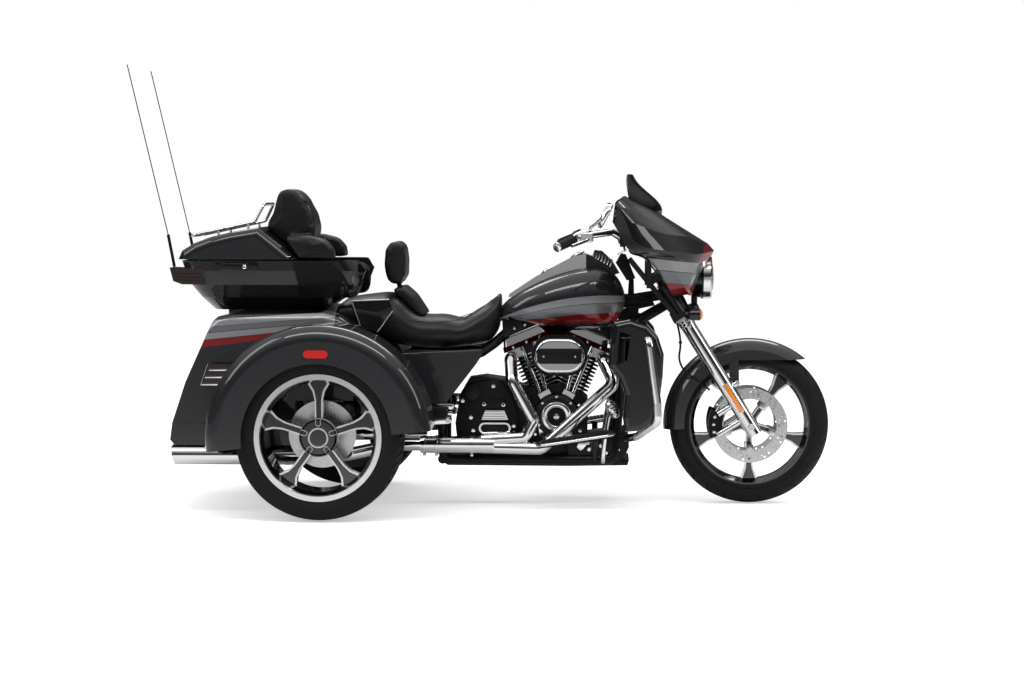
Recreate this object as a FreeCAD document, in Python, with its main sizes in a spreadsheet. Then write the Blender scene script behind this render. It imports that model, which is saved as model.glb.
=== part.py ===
import FreeCAD, Part
import math
import os
import Sketcher
from FreeCAD import Placement, Rotation, Vector

# A touring motor trike, millimetres. X points forward, Y to the rider's left, Z up.
# While the pieces are made, X is counted from the rear axle; each piece's Placement then
# moves it so that the origin lies on the ground under the middle of the whole machine.

driving_sizes = {
    # Stance
    "wheelBase": 1670,
    "rearReach": 795,
    "halfWidth": 689,
    "seatGap": 0.3,
    "runningGap": 0.6,
    "overrun": 20,
    # Front wheel
    "frontTyreRadius": 319.3,
    "frontTyreWidth": 130,
    "frontBeadRadius": 241.3,
    "frontLipWidth": 104,
    "frontSpokeWaist": 26,
    "frontSpokeFlare": 70,
    "frontHubRadius": 34,
    "frontHubWidth": 120,
    "frontAxleRadius": 12.5,
    "frontRotorRadius": 150,
    "frontRotorBand": 44,
    "frontRotorPlane": 76,
    "frontRotorThick": 5,
    "rotorBoltCircle": 92,
    "rotorBossRadius": 12,
    # Rear wheels
    "rearTyreRadius": 322,
    "rearTyreWidth": 215,
    "rearBeadRadius": 228.6,
    "rearLipWidth": 204,
    "rearWheelPlane": 536,
    "rearSpokeOffset": 40,
    "rearSpokeWaist": 31,
    "rearSpokeFlare": 92,
    "hubCapRadius": 74,
    "hubCapFace": 44,
    "hubBarrelRadius": 62,
    "hubInboard": 92,
    "rearRotorRadius": 130,
    "rearRotorThick": 8,
    # Shared rim and tyre sections
    "rimWall": 6,
    "rimFlange": 14,
    "rimWellDrop": 14,
    "tyreWall": 9,
    "treadThick": 13,
    "spokeDepth": 40,
    "spokeRecess": 6,
    "spokeEdge": 6,
    "spokeCount": 5,
    # Steering geometry and fork
    "trail": 100,
    "rakeAngle": 26,
    "forkAngle": 32,
    "forkHalfSpan": 118,
    "forkSliderRadius": 30,
    "forkTubeRadius": 24.5,
    "forkSliderLength": 470,
    "forkTubeTop": 660,
    "headTubeRadius": 38,
    "headTubeLength": 150,
    "headTubeHeight": 775,
    "stemRadius": 14,
    "clampThick": 30,
    "bracketWidth": 20,
    "bracketThick": 6,
    "caliperHalf": 17,
    "caliperGap": 5.5,
    "frontFenderRadius": 346,
    "frontFenderEdge": 262,
    "frontFenderHalfWidth": 79,
    "frontFenderWall": 3.5,
    "frontFenderTip": 47.5,
    "frontFenderTail": 183.5,
    # Frame
    "railRadius": 19,
    "railHalfSpan": 133,
    "railHeight": 185,
    "backboneRadius": 22,
    "uprightForward": 440,
    "backboneEnd": 740,
    "backboneEndHeight": 745,
    "neckRear": 1120,
    "neckLength": 168,
    "neckBottom": 700,
    "neckHeight": 170,
    "neckHalfWidth": 56,
    # Engine
    "crankForward": 896,
    "crankHeight": 360,
    "cylinderAngle": 22.5,
    "barrelFoot": 112,
    "barrelLength": 160,
    "barrelRadius": 62,
    "finRadius": 82,
    "finThick": 4,
    "finCount": 10,
    "headLength": 36,
    "rockerBand": 20,
    "rockerHeight": 28,
    "rockerHalfLength": 102,
    "rockerHalfWidth": 90,
    "caseHalfWidth": 110,
    "caseLength": 515,
    "caseBottom": 195,
    "caseHeight": 325,
    "coverStep": 14,
    "camCoverRadius": 58,
    "gearboxOffset": 246,
    "gearCoverLength": 127,
    "gearCoverHeight": 60,
    "primaryLength": 470,
    "primaryHeight": 215,
    "primaryDepth": 78,
    "lifterSpan": 52,
    "lifterRise": 76,
    "pushrodAngle": 29,
    "pushrodRadius": 8,
    "airCleanerShift": 13,
    "airCleanerRise": 250,
    "airCleanerWidth": 198,
    "airCleanerHeight": 135,
    "airCleanerFace": 284,
    "airCleanerDepth": 58,
    # Exhaust
    "headerRadius": 25,
    "headerReach": 200,
    "headerRise": 226,
    "exhaustHeight": 250,
    "collectorFront": 600,
    "collectorRadius": 34,
    "mufflerRadius": 39,
    "mufflerSpan": 380,
    "mufflerRear": -609,
    "mufflerFront": -80,
    "pipeSpan": 190,
    # Tank, console, seat
    "tankRear": 658,
    "tankLength": 510,
    "tankBottom": 693,
    "tankHeight": 260,
    "tankHalfWidth": 165,
    "tunnelHalfWidth": 96,
    "tunnelHeight": 82,
    "consoleRear": 700,
    "consoleLength": 372,
    "consoleBase": 830,
    "consoleHeight": 175,
    "consoleHalfWidth": 52,
    "seatOverlap": 274,
    "seatTuck": 48,
    "seatBottom": 627,
    "seatHeight": 222,
    "seatHalfWidth": 225,
    # Rear body, its door and the fenders
    "bodyRear": -606,
    "bodyLength": 896,
    "bodyBottom": 268,
    "bodyHeight": 516,
    "bodyHalfWidth": 405,
    "bodyNoseHalfWidth": 200,
    "bodyWall": 5,
    "doorHalfWidth": 300,
    "doorThick": 26,
    "doorGap": 6,
    "doorSillHeight": 372,
    "doorTopHeight": 700,
    "hingeInset": 9,
    "hingePin": 4,
    "plateWidth": 178,
    "plateHeight": 102,
    "plateThick": 3,
    "plateBoltSpan": 146,
    "plateBoltRise": 70,
    "plateBoltRadius": 3.5,
    "markerLength": 92,
    "markerHeight": 30,
    "markerDepth": 3,
    "lampLength": 114,
    "lampRise": 83,
    "lampDepth": 62,
    "coverLength": 316,
    "coverBottom": 411,
    "coverHeight": 216,
    "coverDepth": 22,
    "padRear": 205,
    "padBottom": 884,
    "padDepth": 86,
    "padHeight": 175,
    "padHalfWidth": 118,
    "fenderRadius": 430,
    "fenderArch": 285,
    "fenderWall": 5,
    "fenderCorner": 60,
    "fenderFrontAngle": 4,
    "fenderRearAngle": 187,
    # Luggage case
    "luggageRear": -594,
    "luggageBottom": 786,
    "luggageRim": 982,
    "luggageHalfWidth": 285,
    "luggageWall": 4,
    "luggageLength": 733,
    "luggageCorner": 70,
    "podLength": 170,
    "podInner": 165,
    "podSpeaker": 46,
    "backDepth": 200,
    "backHeight": 282,
    "backHalfWidth": 118,
    "armLength": 195,
    "armHeight": 92,
    "armInner": 165,
    "rackRadius": 6,
    "rackSpan": 150,
    "rackRise": 70,
    "caseLampHeight": 66,
    "caseLampLength": 140,
    "caseLampDepth": 6,
    "lidGap": 5.5,
    "lidHeight": 126,
    "lidLength": 475,
    "antennaRadius": 2,
    "antennaSpan": 236,
    "antennaTip": 1752,
    "antennaLean": 160,
    # Fairing and screen
    "fairingRear": 1120,
    "fairingLength": 406,
    "fairingBottom": 838,
    "fairingHeight": 399,
    "fairingHalfWidth": 438,
    "fairingWall": 4,
    "lampRadius": 89,
    "lampHeight": 911,
    "lampFace": 1517,
    "screenTip": 1323,
    "screenRear": 1166,
    "screenReach": 110,
    "screenHalfWidth": 225,
    "screenThick": 4,
    "dashInset": 36,
    "dashThick": 8,
    "gaugeRadius": 38,
    "signalLength": 64,
    "signalRadius": 23,
    "signalSpan": 176,
    "signalRear": 1402,
    "signalHeight": 769,
    # Lower fairings and guard
    "lowerRear": 1100,
    "lowerLength": 214,
    "lowerBottom": 325,
    "lowerHeight": 437,
    "lowerInner": 262,
    "lowerOuter": 425,
    "lowerWall": 4,
    "lowerCorner": 24,
    "boardInner": 262,
    "boardWidth": 128,
    "boardLength": 298,
    "boardThick": 16,
    "boardRear": 825,
    "boardHeight": 272,
    "boardTilt": 8.7,
    "pegHeight": 370,
    "pegRadius": 16,
    "pegLength": 110,
    "pedalReach": 34,
    "pedalRise": 140,
    "pedalPad": 56,
    "guardRadius": 15.9,
    # Handlebar
    "barRadius": 12.7,
    "gripRadius": 17,
    "gripLength": 120,
    "gripInnerForward": 992,
    "gripInnerSpan": 300,
    "gripInnerHeight": 1078,
    "gripSweep": 91,
    "gripSpread": 130,
    "gripDrop": 39,
    "riserReach": 56,
    "riserRise": 60,
    "mirrorForward": 85,
    "mirrorRise": 82,
    "mirrorWidth": 150,
    "mirrorHeight": 112,
    "mirrorThick": 18,
    "mirrorLean": 28,
}

doc = FreeCAD.newDocument("MotorTrike")
sheet = doc.addObject("Spreadsheet::Sheet", "Sizes")
for row, (alias, value) in enumerate(driving_sizes.items(), start=1):
    sheet.set(f"A{row}", alias)
    sheet.set(f"B{row}", str(value))
    sheet.setAlias(f"B{row}", alias)
doc.recompute()


def formula(value):
    return getattr(value, "text", repr(float(value)))


class Size(float):
    # A number from the sheet that keeps its formula, so that sketches can be bound to it.
    def __new__(cls, value, text):
        made = float.__new__(cls, value)
        made.text = text
        return made

    def __add__(self, other):
        return Size(float(self) + float(other), f"({self.text} + {formula(other)})")

    def __radd__(self, other):
        return Size(float(other) + float(self), f"({formula(other)} + {self.text})")

    def __sub__(self, other):
        return Size(float(self) - float(other), f"({self.text} - {formula(other)})")

    def __rsub__(self, other):
        return Size(float(other) - float(self), f"({formula(other)} - {self.text})")

    def __mul__(self, other):
        return Size(float(self) * float(other), f"({self.text} * {formula(other)})")

    def __rmul__(self, other):
        return Size(float(other) * float(self), f"({formula(other)} * {self.text})")

    def __truediv__(self, other):
        return Size(float(self) / float(other), f"({self.text} / {formula(other)})")

    def __neg__(self):
        return Size(-float(self), f"(0 - {self.text})")


class SheetSizes:
    def __getattr__(self, alias):
        return Size(sheet.get(alias), f"Sizes.{alias}")


size = SheetSizes()
nodes = {}

frame_shift = (size.rearReach - size.wheelBase - size.frontTyreRadius) / 2
rake = math.radians(size.rakeAngle)
fork_lean = math.radians(size.forkAngle)
front_axle = Vector(size.wheelBase, 0, size.frontTyreRadius)
rear_axle_height = size.rearTyreRadius
steer_ground = Vector(size.wheelBase + size.trail, 0, 0)
steer_up = Vector(-math.sin(rake), 0, math.cos(rake))
fork_up = Vector(-math.sin(fork_lean), 0, math.cos(fork_lean))
axis_x = Vector(1, 0, 0)
axis_y = Vector(0, 1, 0)
axis_z = Vector(0, 0, 1)
centre = Vector(0, 0, 0)


def keep(label, item, forward=0, left=0, up=0, turn=None):
    # Names a finished sub-part and puts it in its place in the machine.
    item.Label = label
    item.Placement = Placement(Vector(frame_shift + forward, left, up), turn or Rotation())
    item.setExpression("Placement.Base.x", formula(frame_shift + forward))
    if left:
        item.setExpression("Placement.Base.y", formula(left))
    if up:
        item.setExpression("Placement.Base.z", formula(up))
    nodes[label] = item
    return item


def feature(label, solids):
    # A sub-part whose form needs lofts or swept tubes.
    item = doc.addObject("Part::Feature", label)
    item.Shape = Part.makeCompound(solids)
    return keep(label, item)


def fused(solids):
    joined = solids[0].multiFuse(solids[1:]) if len(solids) > 1 else solids[0]
    return joined.removeSplitter()


def mirrored(shape):
    return shape.mirror(centre, axis_y)


def both(shapes):
    return shapes + [mirrored(shape) for shape in shapes]


def polygon(points):
    return Part.makePolygon(points + points[:1])


def smooth_loop(points):
    curve = Part.BSplineCurve()
    curve.interpolate(points, PeriodicFlag=True)
    return Part.Wire(curve.toShape())


def loft(wires, ruled=False):
    return Part.makeLoft(wires, True, ruled)


def side_points(shares, rear, base, length, height):
    return [(rear + length * along, base + height * rise) for along, rise in shares]


def side_plate(points, inner, outer):
    # A flat outline seen from the side, given its width across the machine.
    face = Part.Face(polygon([Vector(x, inner, z) for x, z in points]))
    return face.extrude(Vector(0, outer - inner, 0))


def block(x_range, y_range, z_range):
    corner = Vector(x_range[0], y_range[0], z_range[0])
    return Part.makeBox(x_range[1] - x_range[0], y_range[1] - y_range[0],
                        z_range[1] - z_range[0], corner)


def rod(start, end, radius, end_radius=None):
    along = end - start
    if end_radius is None:
        return Part.makeCylinder(radius, along.Length, start, along)
    return Part.makeCone(radius, end_radius, along.Length, start, along)


def tube(points, radius, bend, bore=None):
    # A round tube through the points, with its corners rounded by arcs.
    edges = []
    last = points[0]
    for before, corner, after in zip(points, points[1:], points[2:]):
        back = (before - corner).normalize()
        ahead = (after - corner).normalize()
        half = back.getAngle(ahead) / 2
        run = bend / math.tan(half)
        start = corner + back * run
        end = corner + ahead * run
        middle_way = (back + ahead).normalize()
        middle = corner + middle_way * (bend / math.sin(half) - bend)
        edges.append(Part.LineSegment(last, start).toShape())
        edges.append(Part.Arc(start, middle, end).toShape())
        last = end
    edges.append(Part.LineSegment(last, points[-1]).toShape())
    path = Part.Wire(edges)
    ring = Part.Wire(Part.makeCircle(radius, points[0], points[1] - points[0]))
    return path.makePipeShell([ring], True, False)


def soft_box(x, half_width, bottom, top, squareness, count=14):
    # A rounded section across the machine, between an ellipse and a rectangle.
    points = []
    middle = (bottom + top) / 2
    for step in range(count):
        turn = 2 * math.pi * (step + 0.5) / count
        across = math.cos(turn)
        rise = math.sin(turn)
        y = half_width * math.copysign(abs(across) ** (2 / squareness), across)
        z = middle + (top - bottom) / 2 * math.copysign(abs(rise) ** (2 / squareness), rise)
        points.append(Vector(x, y, z))
    return smooth_loop(points)


def origin_part(body, role):
    return [item for item in body.Origin.OriginFeatures if item.Role == role][0]


def outline_sketch(body, name, loops):
    # Closed outlines on the body's XZ plane or YZ plane, every corner bound to the sheet.
    plane, outlines = loops
    sketch = body.newObject("Sketcher::SketchObject", name)
    sketch.AttachmentSupport = (origin_part(body, plane), [""])
    sketch.MapMode = "FlatFace"
    for points in outlines:
        first = sketch.GeometryCount
        count = len(points)
        for index in range(count):
            start = points[index]
            end = points[(index + 1) % count]
            sketch.addGeometry(Part.LineSegment(Vector(start[0], start[1], 0), Vector(end[0], end[1], 0)))
        for index in range(count):
            follower = first + (index + 1) % count
            sketch.addConstraint(Sketcher.Constraint("Coincident", first + index, 2, follower, 1))
            for kind, place in zip(("DistanceX", "DistanceY"), points[index]):
                number = sketch.addConstraint(
                    Sketcher.Constraint(kind, -1, 1, first + index, 1, float(place)))
                if hasattr(place, "text"):
                    sketch.setExpression(f"Constraints[{number}]", place.text)
    return sketch


def turned_feature(body, name, points):
    # A profile given as (across, radius) pairs, turned round the body's Y axis.
    sketch = outline_sketch(body, name + "Profile", ("YZ_Plane", [points]))
    turned = body.newObject("PartDesign::Revolution", name)
    turned.Profile = sketch
    turned.ReferenceAxis = (sketch, ["H_Axis"])
    turned.Angle = 360
    return turned


def pad_feature(body, name, outlines, thick):
    sketch = outline_sketch(body, name + "Outline", ("XZ_Plane", outlines))
    pad = body.newObject("PartDesign::Pad", name)
    pad.Profile = sketch
    pad.Midplane = True
    pad.Length = float(thick)
    pad.setExpression("Length", formula(thick))
    return pad


def polar_pattern(body, name, features, count):
    pattern = body.newObject("PartDesign::PolarPattern", name)
    pattern.Originals = features
    pattern.Axis = (origin_part(body, "Y_Axis"), [""])
    pattern.Angle = 360
    pattern.Occurrences = int(count)
    pattern.setExpression("Occurrences", formula(count))
    body.Tip = pattern
    return pattern


def tyre(label, radius, width, bead, lip_width):
    # A tyre's whole section: beads inside the rim flanges, side walls and tread.
    lip = lip_width / 2 - size.rimWall - size.seatGap
    seat = bead + size.seatGap
    flange = bead + size.rimFlange
    half = width / 2
    deep = radius - bead
    right = [
        (lip, seat),
        (lip, flange),
        (half - size.tyreWall / 2, flange + deep * 0.09),
        (half, flange + deep * 0.30),
        (half - size.tyreWall / 3, radius - deep * 0.25),
        (half * 0.86, radius - deep * 0.10),
        (half * 0.6, radius - deep * 0.03),
    ]
    inside = [
        (lip - size.tyreWall * 1.8, seat),
        (lip - size.tyreWall, flange),
        (half - size.tyreWall * 1.2, flange + deep * 0.22),
        (half - size.tyreWall * 1.4, radius - deep * 0.32),
        (half * 0.6, radius - size.treadThick - deep * 0.05),
        (0, radius - size.treadThick),
    ]
    left = [(-across, up) for across, up in reversed(right)]
    left_inside = [(-across, up) for across, up in inside[:-1]]
    profile = right + [(0, radius)] + left + left_inside + inside[::-1]
    body = doc.addObject("PartDesign::Body", label)
    turned_feature(body, label + "Section", profile)
    return body


def rim_profile(bead, lip_width, shift):
    # The barrel of a cast wheel, from lip to lip, with the drop centre, shifted from the spokes' plane.
    lip = lip_width / 2
    flange = bead + size.rimFlange
    ledge = lip - size.rimWall
    seat_end = ledge - size.rimWall * 3
    well = bead - size.rimWellDrop
    well_end = seat_end - size.rimWall
    inner = well - size.rimWall
    outside = [(ledge, flange), (ledge, bead), (seat_end, bead), (well_end, well)]
    inside = [(well_end - size.rimWall / 2, inner), (lip, bead - size.rimWall)]
    right = [(lip, flange)] + outside
    left = [(-across, up) for across, up in reversed(right)]
    under = [(-across, up) for across, up in reversed(inside)]
    return [(across + shift, up) for across, up in right + left + under + inside]


def spoke_outline(root, tip, waist, flare, margin):
    # One spoke seen square on, pointing up: a slim waist that opens to a flare at the rim.
    reach = tip - root
    right = [
        (waist / 2 - margin, root + margin),
        (waist / 2 - margin, root + reach * 0.55),
        (waist / 2 + (flare - waist) * 0.12 - margin, root + reach * 0.76),
        (flare / 2 - margin, tip),
    ]
    return right + [(-across, up) for across, up in reversed(right)]


def add_spokes(body, label, root, tip, waist, flare):
    # Each spoke has raised machined edges round a recessed web.
    edge = size.spokeEdge
    whole = spoke_outline(root, tip, waist, flare, edge * 0)
    web = spoke_outline(root, tip + edge, waist, flare, edge)
    web_pad = pad_feature(body, label + "Web", [whole], size.spokeDepth - size.spokeRecess * 2)
    right = [(whole[i], web[i]) for i in range(4)]
    band_right = [pair[0] for pair in right] + [pair[1] for pair in reversed(right)]
    band_left = [(-across, up) for across, up in reversed(band_right)]
    edge_pad = pad_feature(body, label + "Edges", [band_right, band_left], size.spokeDepth)
    return [web_pad, edge_pad]


def front_tyre():
    body = tyre("front_tyre", size.frontTyreRadius, size.frontTyreWidth,
                size.frontBeadRadius, size.frontLipWidth)
    keep("front_tyre", body, size.wheelBase, 0, size.frontTyreRadius)


def front_rim():
    body = doc.addObject("PartDesign::Body", "front_rim")
    turned_feature(body, "FrontBarrel", rim_profile(size.frontBeadRadius, size.frontLipWidth, 0))
    bore = size.frontAxleRadius + size.runningGap
    half = size.frontHubWidth / 2
    turned_feature(body, "FrontHub", [(-half, bore), (half, bore), (half, size.frontHubRadius),
                                      (-half, size.frontHubRadius)])
    tip = size.frontBeadRadius - size.rimWellDrop - size.rimWall / 2
    spokes = add_spokes(body, "FrontSpoke", size.frontHubRadius * 0.9, tip,
                        size.frontSpokeWaist, size.frontSpokeFlare)
    boss = size.rotorBossRadius
    circle = size.rotorBoltCircle
    boss_pad = pad_feature(body, "RotorBoss", [[(boss, circle - boss), (boss, circle + boss),
                                                (-boss, circle + boss), (-boss, circle - boss)]],
                           size.frontRotorPlane * 2 - size.frontRotorThick - size.seatGap)
    polar_pattern(body, "FrontSpokes", spokes + [boss_pad], size.spokeCount)
    keep("front_rim", body, size.wheelBase, 0, size.frontTyreRadius, Rotation(axis_y, 180))


def front_rotors():
    discs = []
    for side in (-1, 1):
        plane = size.frontRotorPlane * side
        start = Vector(0, plane - size.frontRotorThick / 2, 0)
        ring = Part.makeCylinder(size.frontRotorRadius, size.frontRotorThick, start, axis_y)
        hole = Part.makeCylinder(size.frontRotorRadius - size.frontRotorBand,
                                 size.frontRotorThick, start, axis_y)
        ring = ring.cut(hole)
        tab = block((-size.rotorBossRadius * 1.3, size.rotorBossRadius * 1.3),
                    (start.y, start.y + size.frontRotorThick),
                    (size.rotorBoltCircle - size.rotorBossRadius,
                     size.frontRotorRadius - size.frontRotorBand / 2))
        tabs = []
        for index in range(int(size.spokeCount)):
            turned = tab.copy()
            turned.rotate(centre, axis_y, 180 + 360 * index / size.spokeCount)
            tabs.append(turned)
        discs.append(fused([ring] + tabs))
    for disc in discs:
        disc.translate(front_axle)
    feature("front_rotors", discs)


def rear_hub_plane():
    return size.rearWheelPlane + size.rearSpokeOffset


def rear_wheel(side, sign):
    turn = Rotation(axis_z, 180) if sign > 0 else Rotation()
    place = size.rearWheelPlane * sign
    body = tyre("rear_tyre_" + side, size.rearTyreRadius, size.rearTyreWidth,
                size.rearBeadRadius, size.rearLipWidth)
    keep("rear_tyre_" + side, body, 0, place, rear_axle_height)
    place = rear_hub_plane() * sign
    rim = doc.addObject("PartDesign::Body", "rear_rim_" + side)
    turned_feature(rim, "RearBarrel" + side, rim_profile(size.rearBeadRadius, size.rearLipWidth,
                                                            size.rearSpokeOffset))
    bore = size.frontAxleRadius * 1.4
    turned_feature(rim, "RearHub" + side, [
        (-size.hubCapFace, 0), (-size.hubCapFace, size.hubCapRadius * 0.86),
        (-size.hubCapFace + size.rimWall * 2, size.hubCapRadius),
        (-size.hubCapFace + size.rimWall * 5, size.hubCapRadius),
        (-size.hubCapFace + size.rimWall * 6, size.hubBarrelRadius),
        (size.hubInboard, size.hubBarrelRadius), (size.hubInboard, bore),
        (-size.hubCapFace / 2, bore), (-size.hubCapFace / 2, 0)])
    tip = size.rearBeadRadius - size.rimWellDrop - size.rimWall / 2
    spokes = add_spokes(rim, "RearSpoke" + side, size.hubBarrelRadius * 0.8, tip,
                        size.rearSpokeWaist, size.rearSpokeFlare)
    polar_pattern(rim, "RearSpokes" + side, spokes, size.spokeCount)
    keep("rear_rim_" + side, rim, 0, place, rear_axle_height, turn)
    disc = Part.makeCylinder(size.rearRotorRadius, size.rearRotorThick,
                             Vector(0, size.hubInboard, 0), axis_y)
    hole = Part.makeCylinder(size.hubBarrelRadius * 0.8, size.rearRotorThick,
                             Vector(0, size.hubInboard, 0), axis_y)
    rotor = doc.addObject("Part::Feature", "rear_rotor_" + side)
    rotor.Shape = disc.cut(hole)
    keep("rear_rotor_" + side, rotor, 0, place, rear_axle_height, turn)


def rear_axle():
    inner = rear_hub_plane() - size.hubInboard - size.rearRotorThick - size.seatGap
    height = rear_axle_height
    solids = [
        rod(Vector(0, -inner, height), Vector(0, inner, height), size.backboneRadius * 1.3),
        rod(Vector(0, -size.railHalfSpan / 2, height), Vector(0, size.railHalfSpan / 2, height),
            size.backboneRadius * 3.4),
    ]
    stub = size.frontAxleRadius * 1.4 - size.seatGap
    reach = rear_hub_plane() + size.hubCapFace / 2 - size.overrun / 4
    solids.append(rod(Vector(0, -reach, height), Vector(0, reach, height), stub))
    arm = block((0, size.uprightForward - size.railRadius - size.seatGap),
                (size.railHalfSpan - size.railRadius, size.railHalfSpan + size.railRadius),
                (height - size.railRadius, height + size.railRadius))
    solids += both([arm])
    feature("rear_axle", [fused(solids)])


def steering_point(height):
    return steer_ground + steer_up * (height / math.cos(rake))


def backbone(spare):
    # The tube from the head down to the seat, under the tank.
    middle = steering_point(size.headTubeHeight) + steer_up * (size.headTubeLength / 2)
    end = Vector(size.backboneEnd, 0, size.backboneEndHeight)
    return rod(middle - axis_x * size.stemRadius * 2, end, size.backboneRadius + spare)


def down_tube(spare):
    # The right half of the cradle: down from the head, back under the engine, up to the seat
    # and forward again to the backbone's end.
    head = steering_point(size.headTubeHeight) + steer_up * (size.headTubeLength / 2)
    rail = size.railHalfSpan
    low = size.railHeight
    front_x = size.wheelBase * 0.69
    up_x = size.uprightForward
    seat_rail = size.seatBottom - size.seatGap - size.railRadius
    return tube([Vector(head.x - size.stemRadius, -size.backboneRadius,
                        size.headTubeHeight + size.railRadius * 1.6),
                 Vector(front_x, -rail / 2, size.tankBottom),
                 Vector(front_x - size.railRadius, -rail, low),
                 Vector(up_x, -rail, low),
                 Vector(up_x, -rail, seat_rail),
                 Vector(up_x + size.headTubeLength, -rail * 0.75, seat_rail),
                 Vector(up_x + size.headTubeLength * 1.37, -rail * 0.4, seat_rail + size.railRadius * 1.95),
                 Vector(size.backboneEnd + size.railRadius, -size.backboneRadius * 0.7,
                        size.backboneEndHeight)],
                size.railRadius + spare, size.railRadius * 2.1)


neck_shares = [(0, 0.05), (0.42, 0), (0.58, 0.2), (0.62, 0.5), (1, 0.58), (0.94, 0.72), (0.5, 0.82),
               (0, 0.84)]


def neck_cover():
    # The black box that fills the space between the tank's front and the steering head.
    outline = side_points(neck_shares, size.neckRear, size.neckBottom, size.neckLength, size.neckHeight)
    solid = side_plate(outline, -size.neckHalfWidth, size.neckHalfWidth)
    ordered = sorted(solid.cut(tank_solid(size.seatGap)).Solids, key=lambda one: one.BoundBox.XMax)
    return ordered[-1]


def frame():
    head_low = steering_point(size.headTubeHeight)
    head_high = head_low + steer_up * size.headTubeLength
    head = rod(head_low, head_high, size.headTubeRadius)
    bore = rod(head_low - steer_up * size.overrun, head_high + steer_up * size.overrun,
               size.stemRadius + size.runningGap)
    cross_x = size.uprightForward
    cross = rod(Vector(cross_x, -size.railHalfSpan, size.railHeight), Vector(cross_x, size.railHalfSpan,
                                                                             size.railHeight),
                size.railRadius)
    feature("frame", [fused([head, backbone(0), cross, neck_cover()] + both([down_tube(0)])).cut(bore)])


def cylinder_place(sign):
    # Local Z runs up one cylinder's axis from the crankshaft's centre.
    angle = sign * float(size.cylinderAngle)
    return Placement(Vector(size.crankForward, 0, size.crankHeight), Rotation(axis_y, angle))


def cylinders():
    solids = []
    for sign in (-1, 1):
        foot = size.barrelFoot
        barrel = rod(axis_z * foot, axis_z * (foot + size.barrelLength), size.barrelRadius)
        pitch = (size.barrelLength - size.finThick) / size.finCount
        fins = []
        for index in range(1, int(size.finCount) + 1):
            start = axis_z * (foot + pitch * index)
            fins.append(Part.makeCylinder(size.finRadius, size.finThick, start, axis_z))
        head_foot = foot + size.barrelLength
        reach = size.rockerHalfLength * 0.86
        side = size.rockerHalfWidth * 0.8
        core = block((-reach, reach), (-side, side), (head_foot, head_foot + size.headLength))
        layer = size.headLength / 4
        for index in range(4):
            base = head_foot + layer * index
            fins.append(block((-reach - size.finThick, reach + size.finThick),
                              (-side - size.finThick, side + size.finThick),
                              (base, base + size.finThick)))
        solid = fused([barrel, core] + fins)
        solid.Placement = cylinder_place(sign)
        split = size.crankForward - sign * (size.overrun * 10 - size.seatGap)
        other_side = block((split - size.overrun * 10, split + size.overrun * 10),
                           (-size.finRadius, size.finRadius), (0, size.tankBottom))
        solids.append(solid.cut(other_side))
    feature("cylinders", solids)


def cylinder_room(sign):
    # The space that one cylinder and its head fill, with a seating gap.
    gap = size.seatGap
    reach = size.rockerHalfLength * 0.86 + size.finThick + gap
    side = size.rockerHalfWidth * 0.8 + size.finThick + gap
    foot = size.barrelFoot + size.barrelLength
    head = block((-reach, reach), (-side, side), (foot - gap, foot + size.headLength + size.rockerBand))
    barrel = rod(axis_z * (size.barrelFoot - gap), axis_z * (foot + gap), size.finRadius + gap)
    room = head.fuse(barrel)
    room.Placement = cylinder_place(sign)
    return room


def clear_of_cylinders(solid):
    return solid.cut(cylinder_room(-1)).cut(cylinder_room(1))


def rectangle_loop(half_x, half_y, corner, height):
    # A rounded rectangle seen from above.
    ring = Part.makePlane(half_x * 2, half_y * 2, Vector(-half_x, -half_y, height))
    solid = ring.extrude(axis_z)
    uprights = [edge for edge in solid.Edges if abs(edge.tangentAt(edge.FirstParameter).z) > 0.9]
    rounded = solid.makeFillet(corner, uprights)
    base = [face for face in rounded.Faces if face.normalAt(0, 0).z < -0.9][0]
    return base.OuterWire


def clear_of_cradle(solid):
    for room in both([down_tube(size.runningGap)]):
        solid = solid.cut(room)
    return sorted(solid.Solids, key=lambda one: one.Volume)[-1]


def rocker_covers():
    bands = []
    covers = []
    for sign in (-1, 1):
        low = size.barrelFoot + size.barrelLength + size.headLength + size.seatGap
        corner = size.rockerHeight * 0.6
        band = loft([rectangle_loop(size.rockerHalfLength, size.rockerHalfWidth, corner, low),
                     rectangle_loop(size.rockerHalfLength * 0.96, size.rockerHalfWidth * 0.97,
                                    corner, low + size.rockerBand)], True)
        foot = low + size.rockerBand + size.seatGap
        cover = loft([rectangle_loop(size.rockerHalfLength * 0.93, size.rockerHalfWidth * 0.94,
                                     corner, foot),
                      rectangle_loop(size.rockerHalfLength * 0.84, size.rockerHalfWidth * 0.85,
                                     corner, foot + size.rockerHeight)], True)
        band.Placement = cylinder_place(sign)
        cover.Placement = cylinder_place(sign)
        bands.append(band)
        covers.append(clear_of_cradle(cover))
    feature("rocker_bands", bands)
    feature("rocker_covers", covers)


crankcase_shares = [(0, 0.32), (0, 0.75), (0.07, 0.94), (0.2, 0.97), (0.38, 0.93), (0.5, 0.84),
                    (0.62, 0.86), (0.77, 0.9), (0.9, 0.84), (1, 0.7), (1, 0.32), (0.92, 0.06),
                    (0.77, 0), (0.18, 0), (0.07, 0.08)]


def engine_cases():
    rear = size.crankForward - size.caseLength * 0.76
    outline = side_points(crankcase_shares, rear, size.caseBottom, size.caseLength, size.caseHeight)
    solid = side_plate(outline, -size.caseHalfWidth, size.caseHalfWidth)
    for sign in (-1, 1):
        foot = rod(centre, axis_z * (size.barrelFoot - size.seatGap), size.finRadius)
        foot.Placement = cylinder_place(sign)
        solid = solid.fuse(foot)
    feature("engine_cases", [clear_of_cylinders(solid.removeSplitter())])


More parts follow.
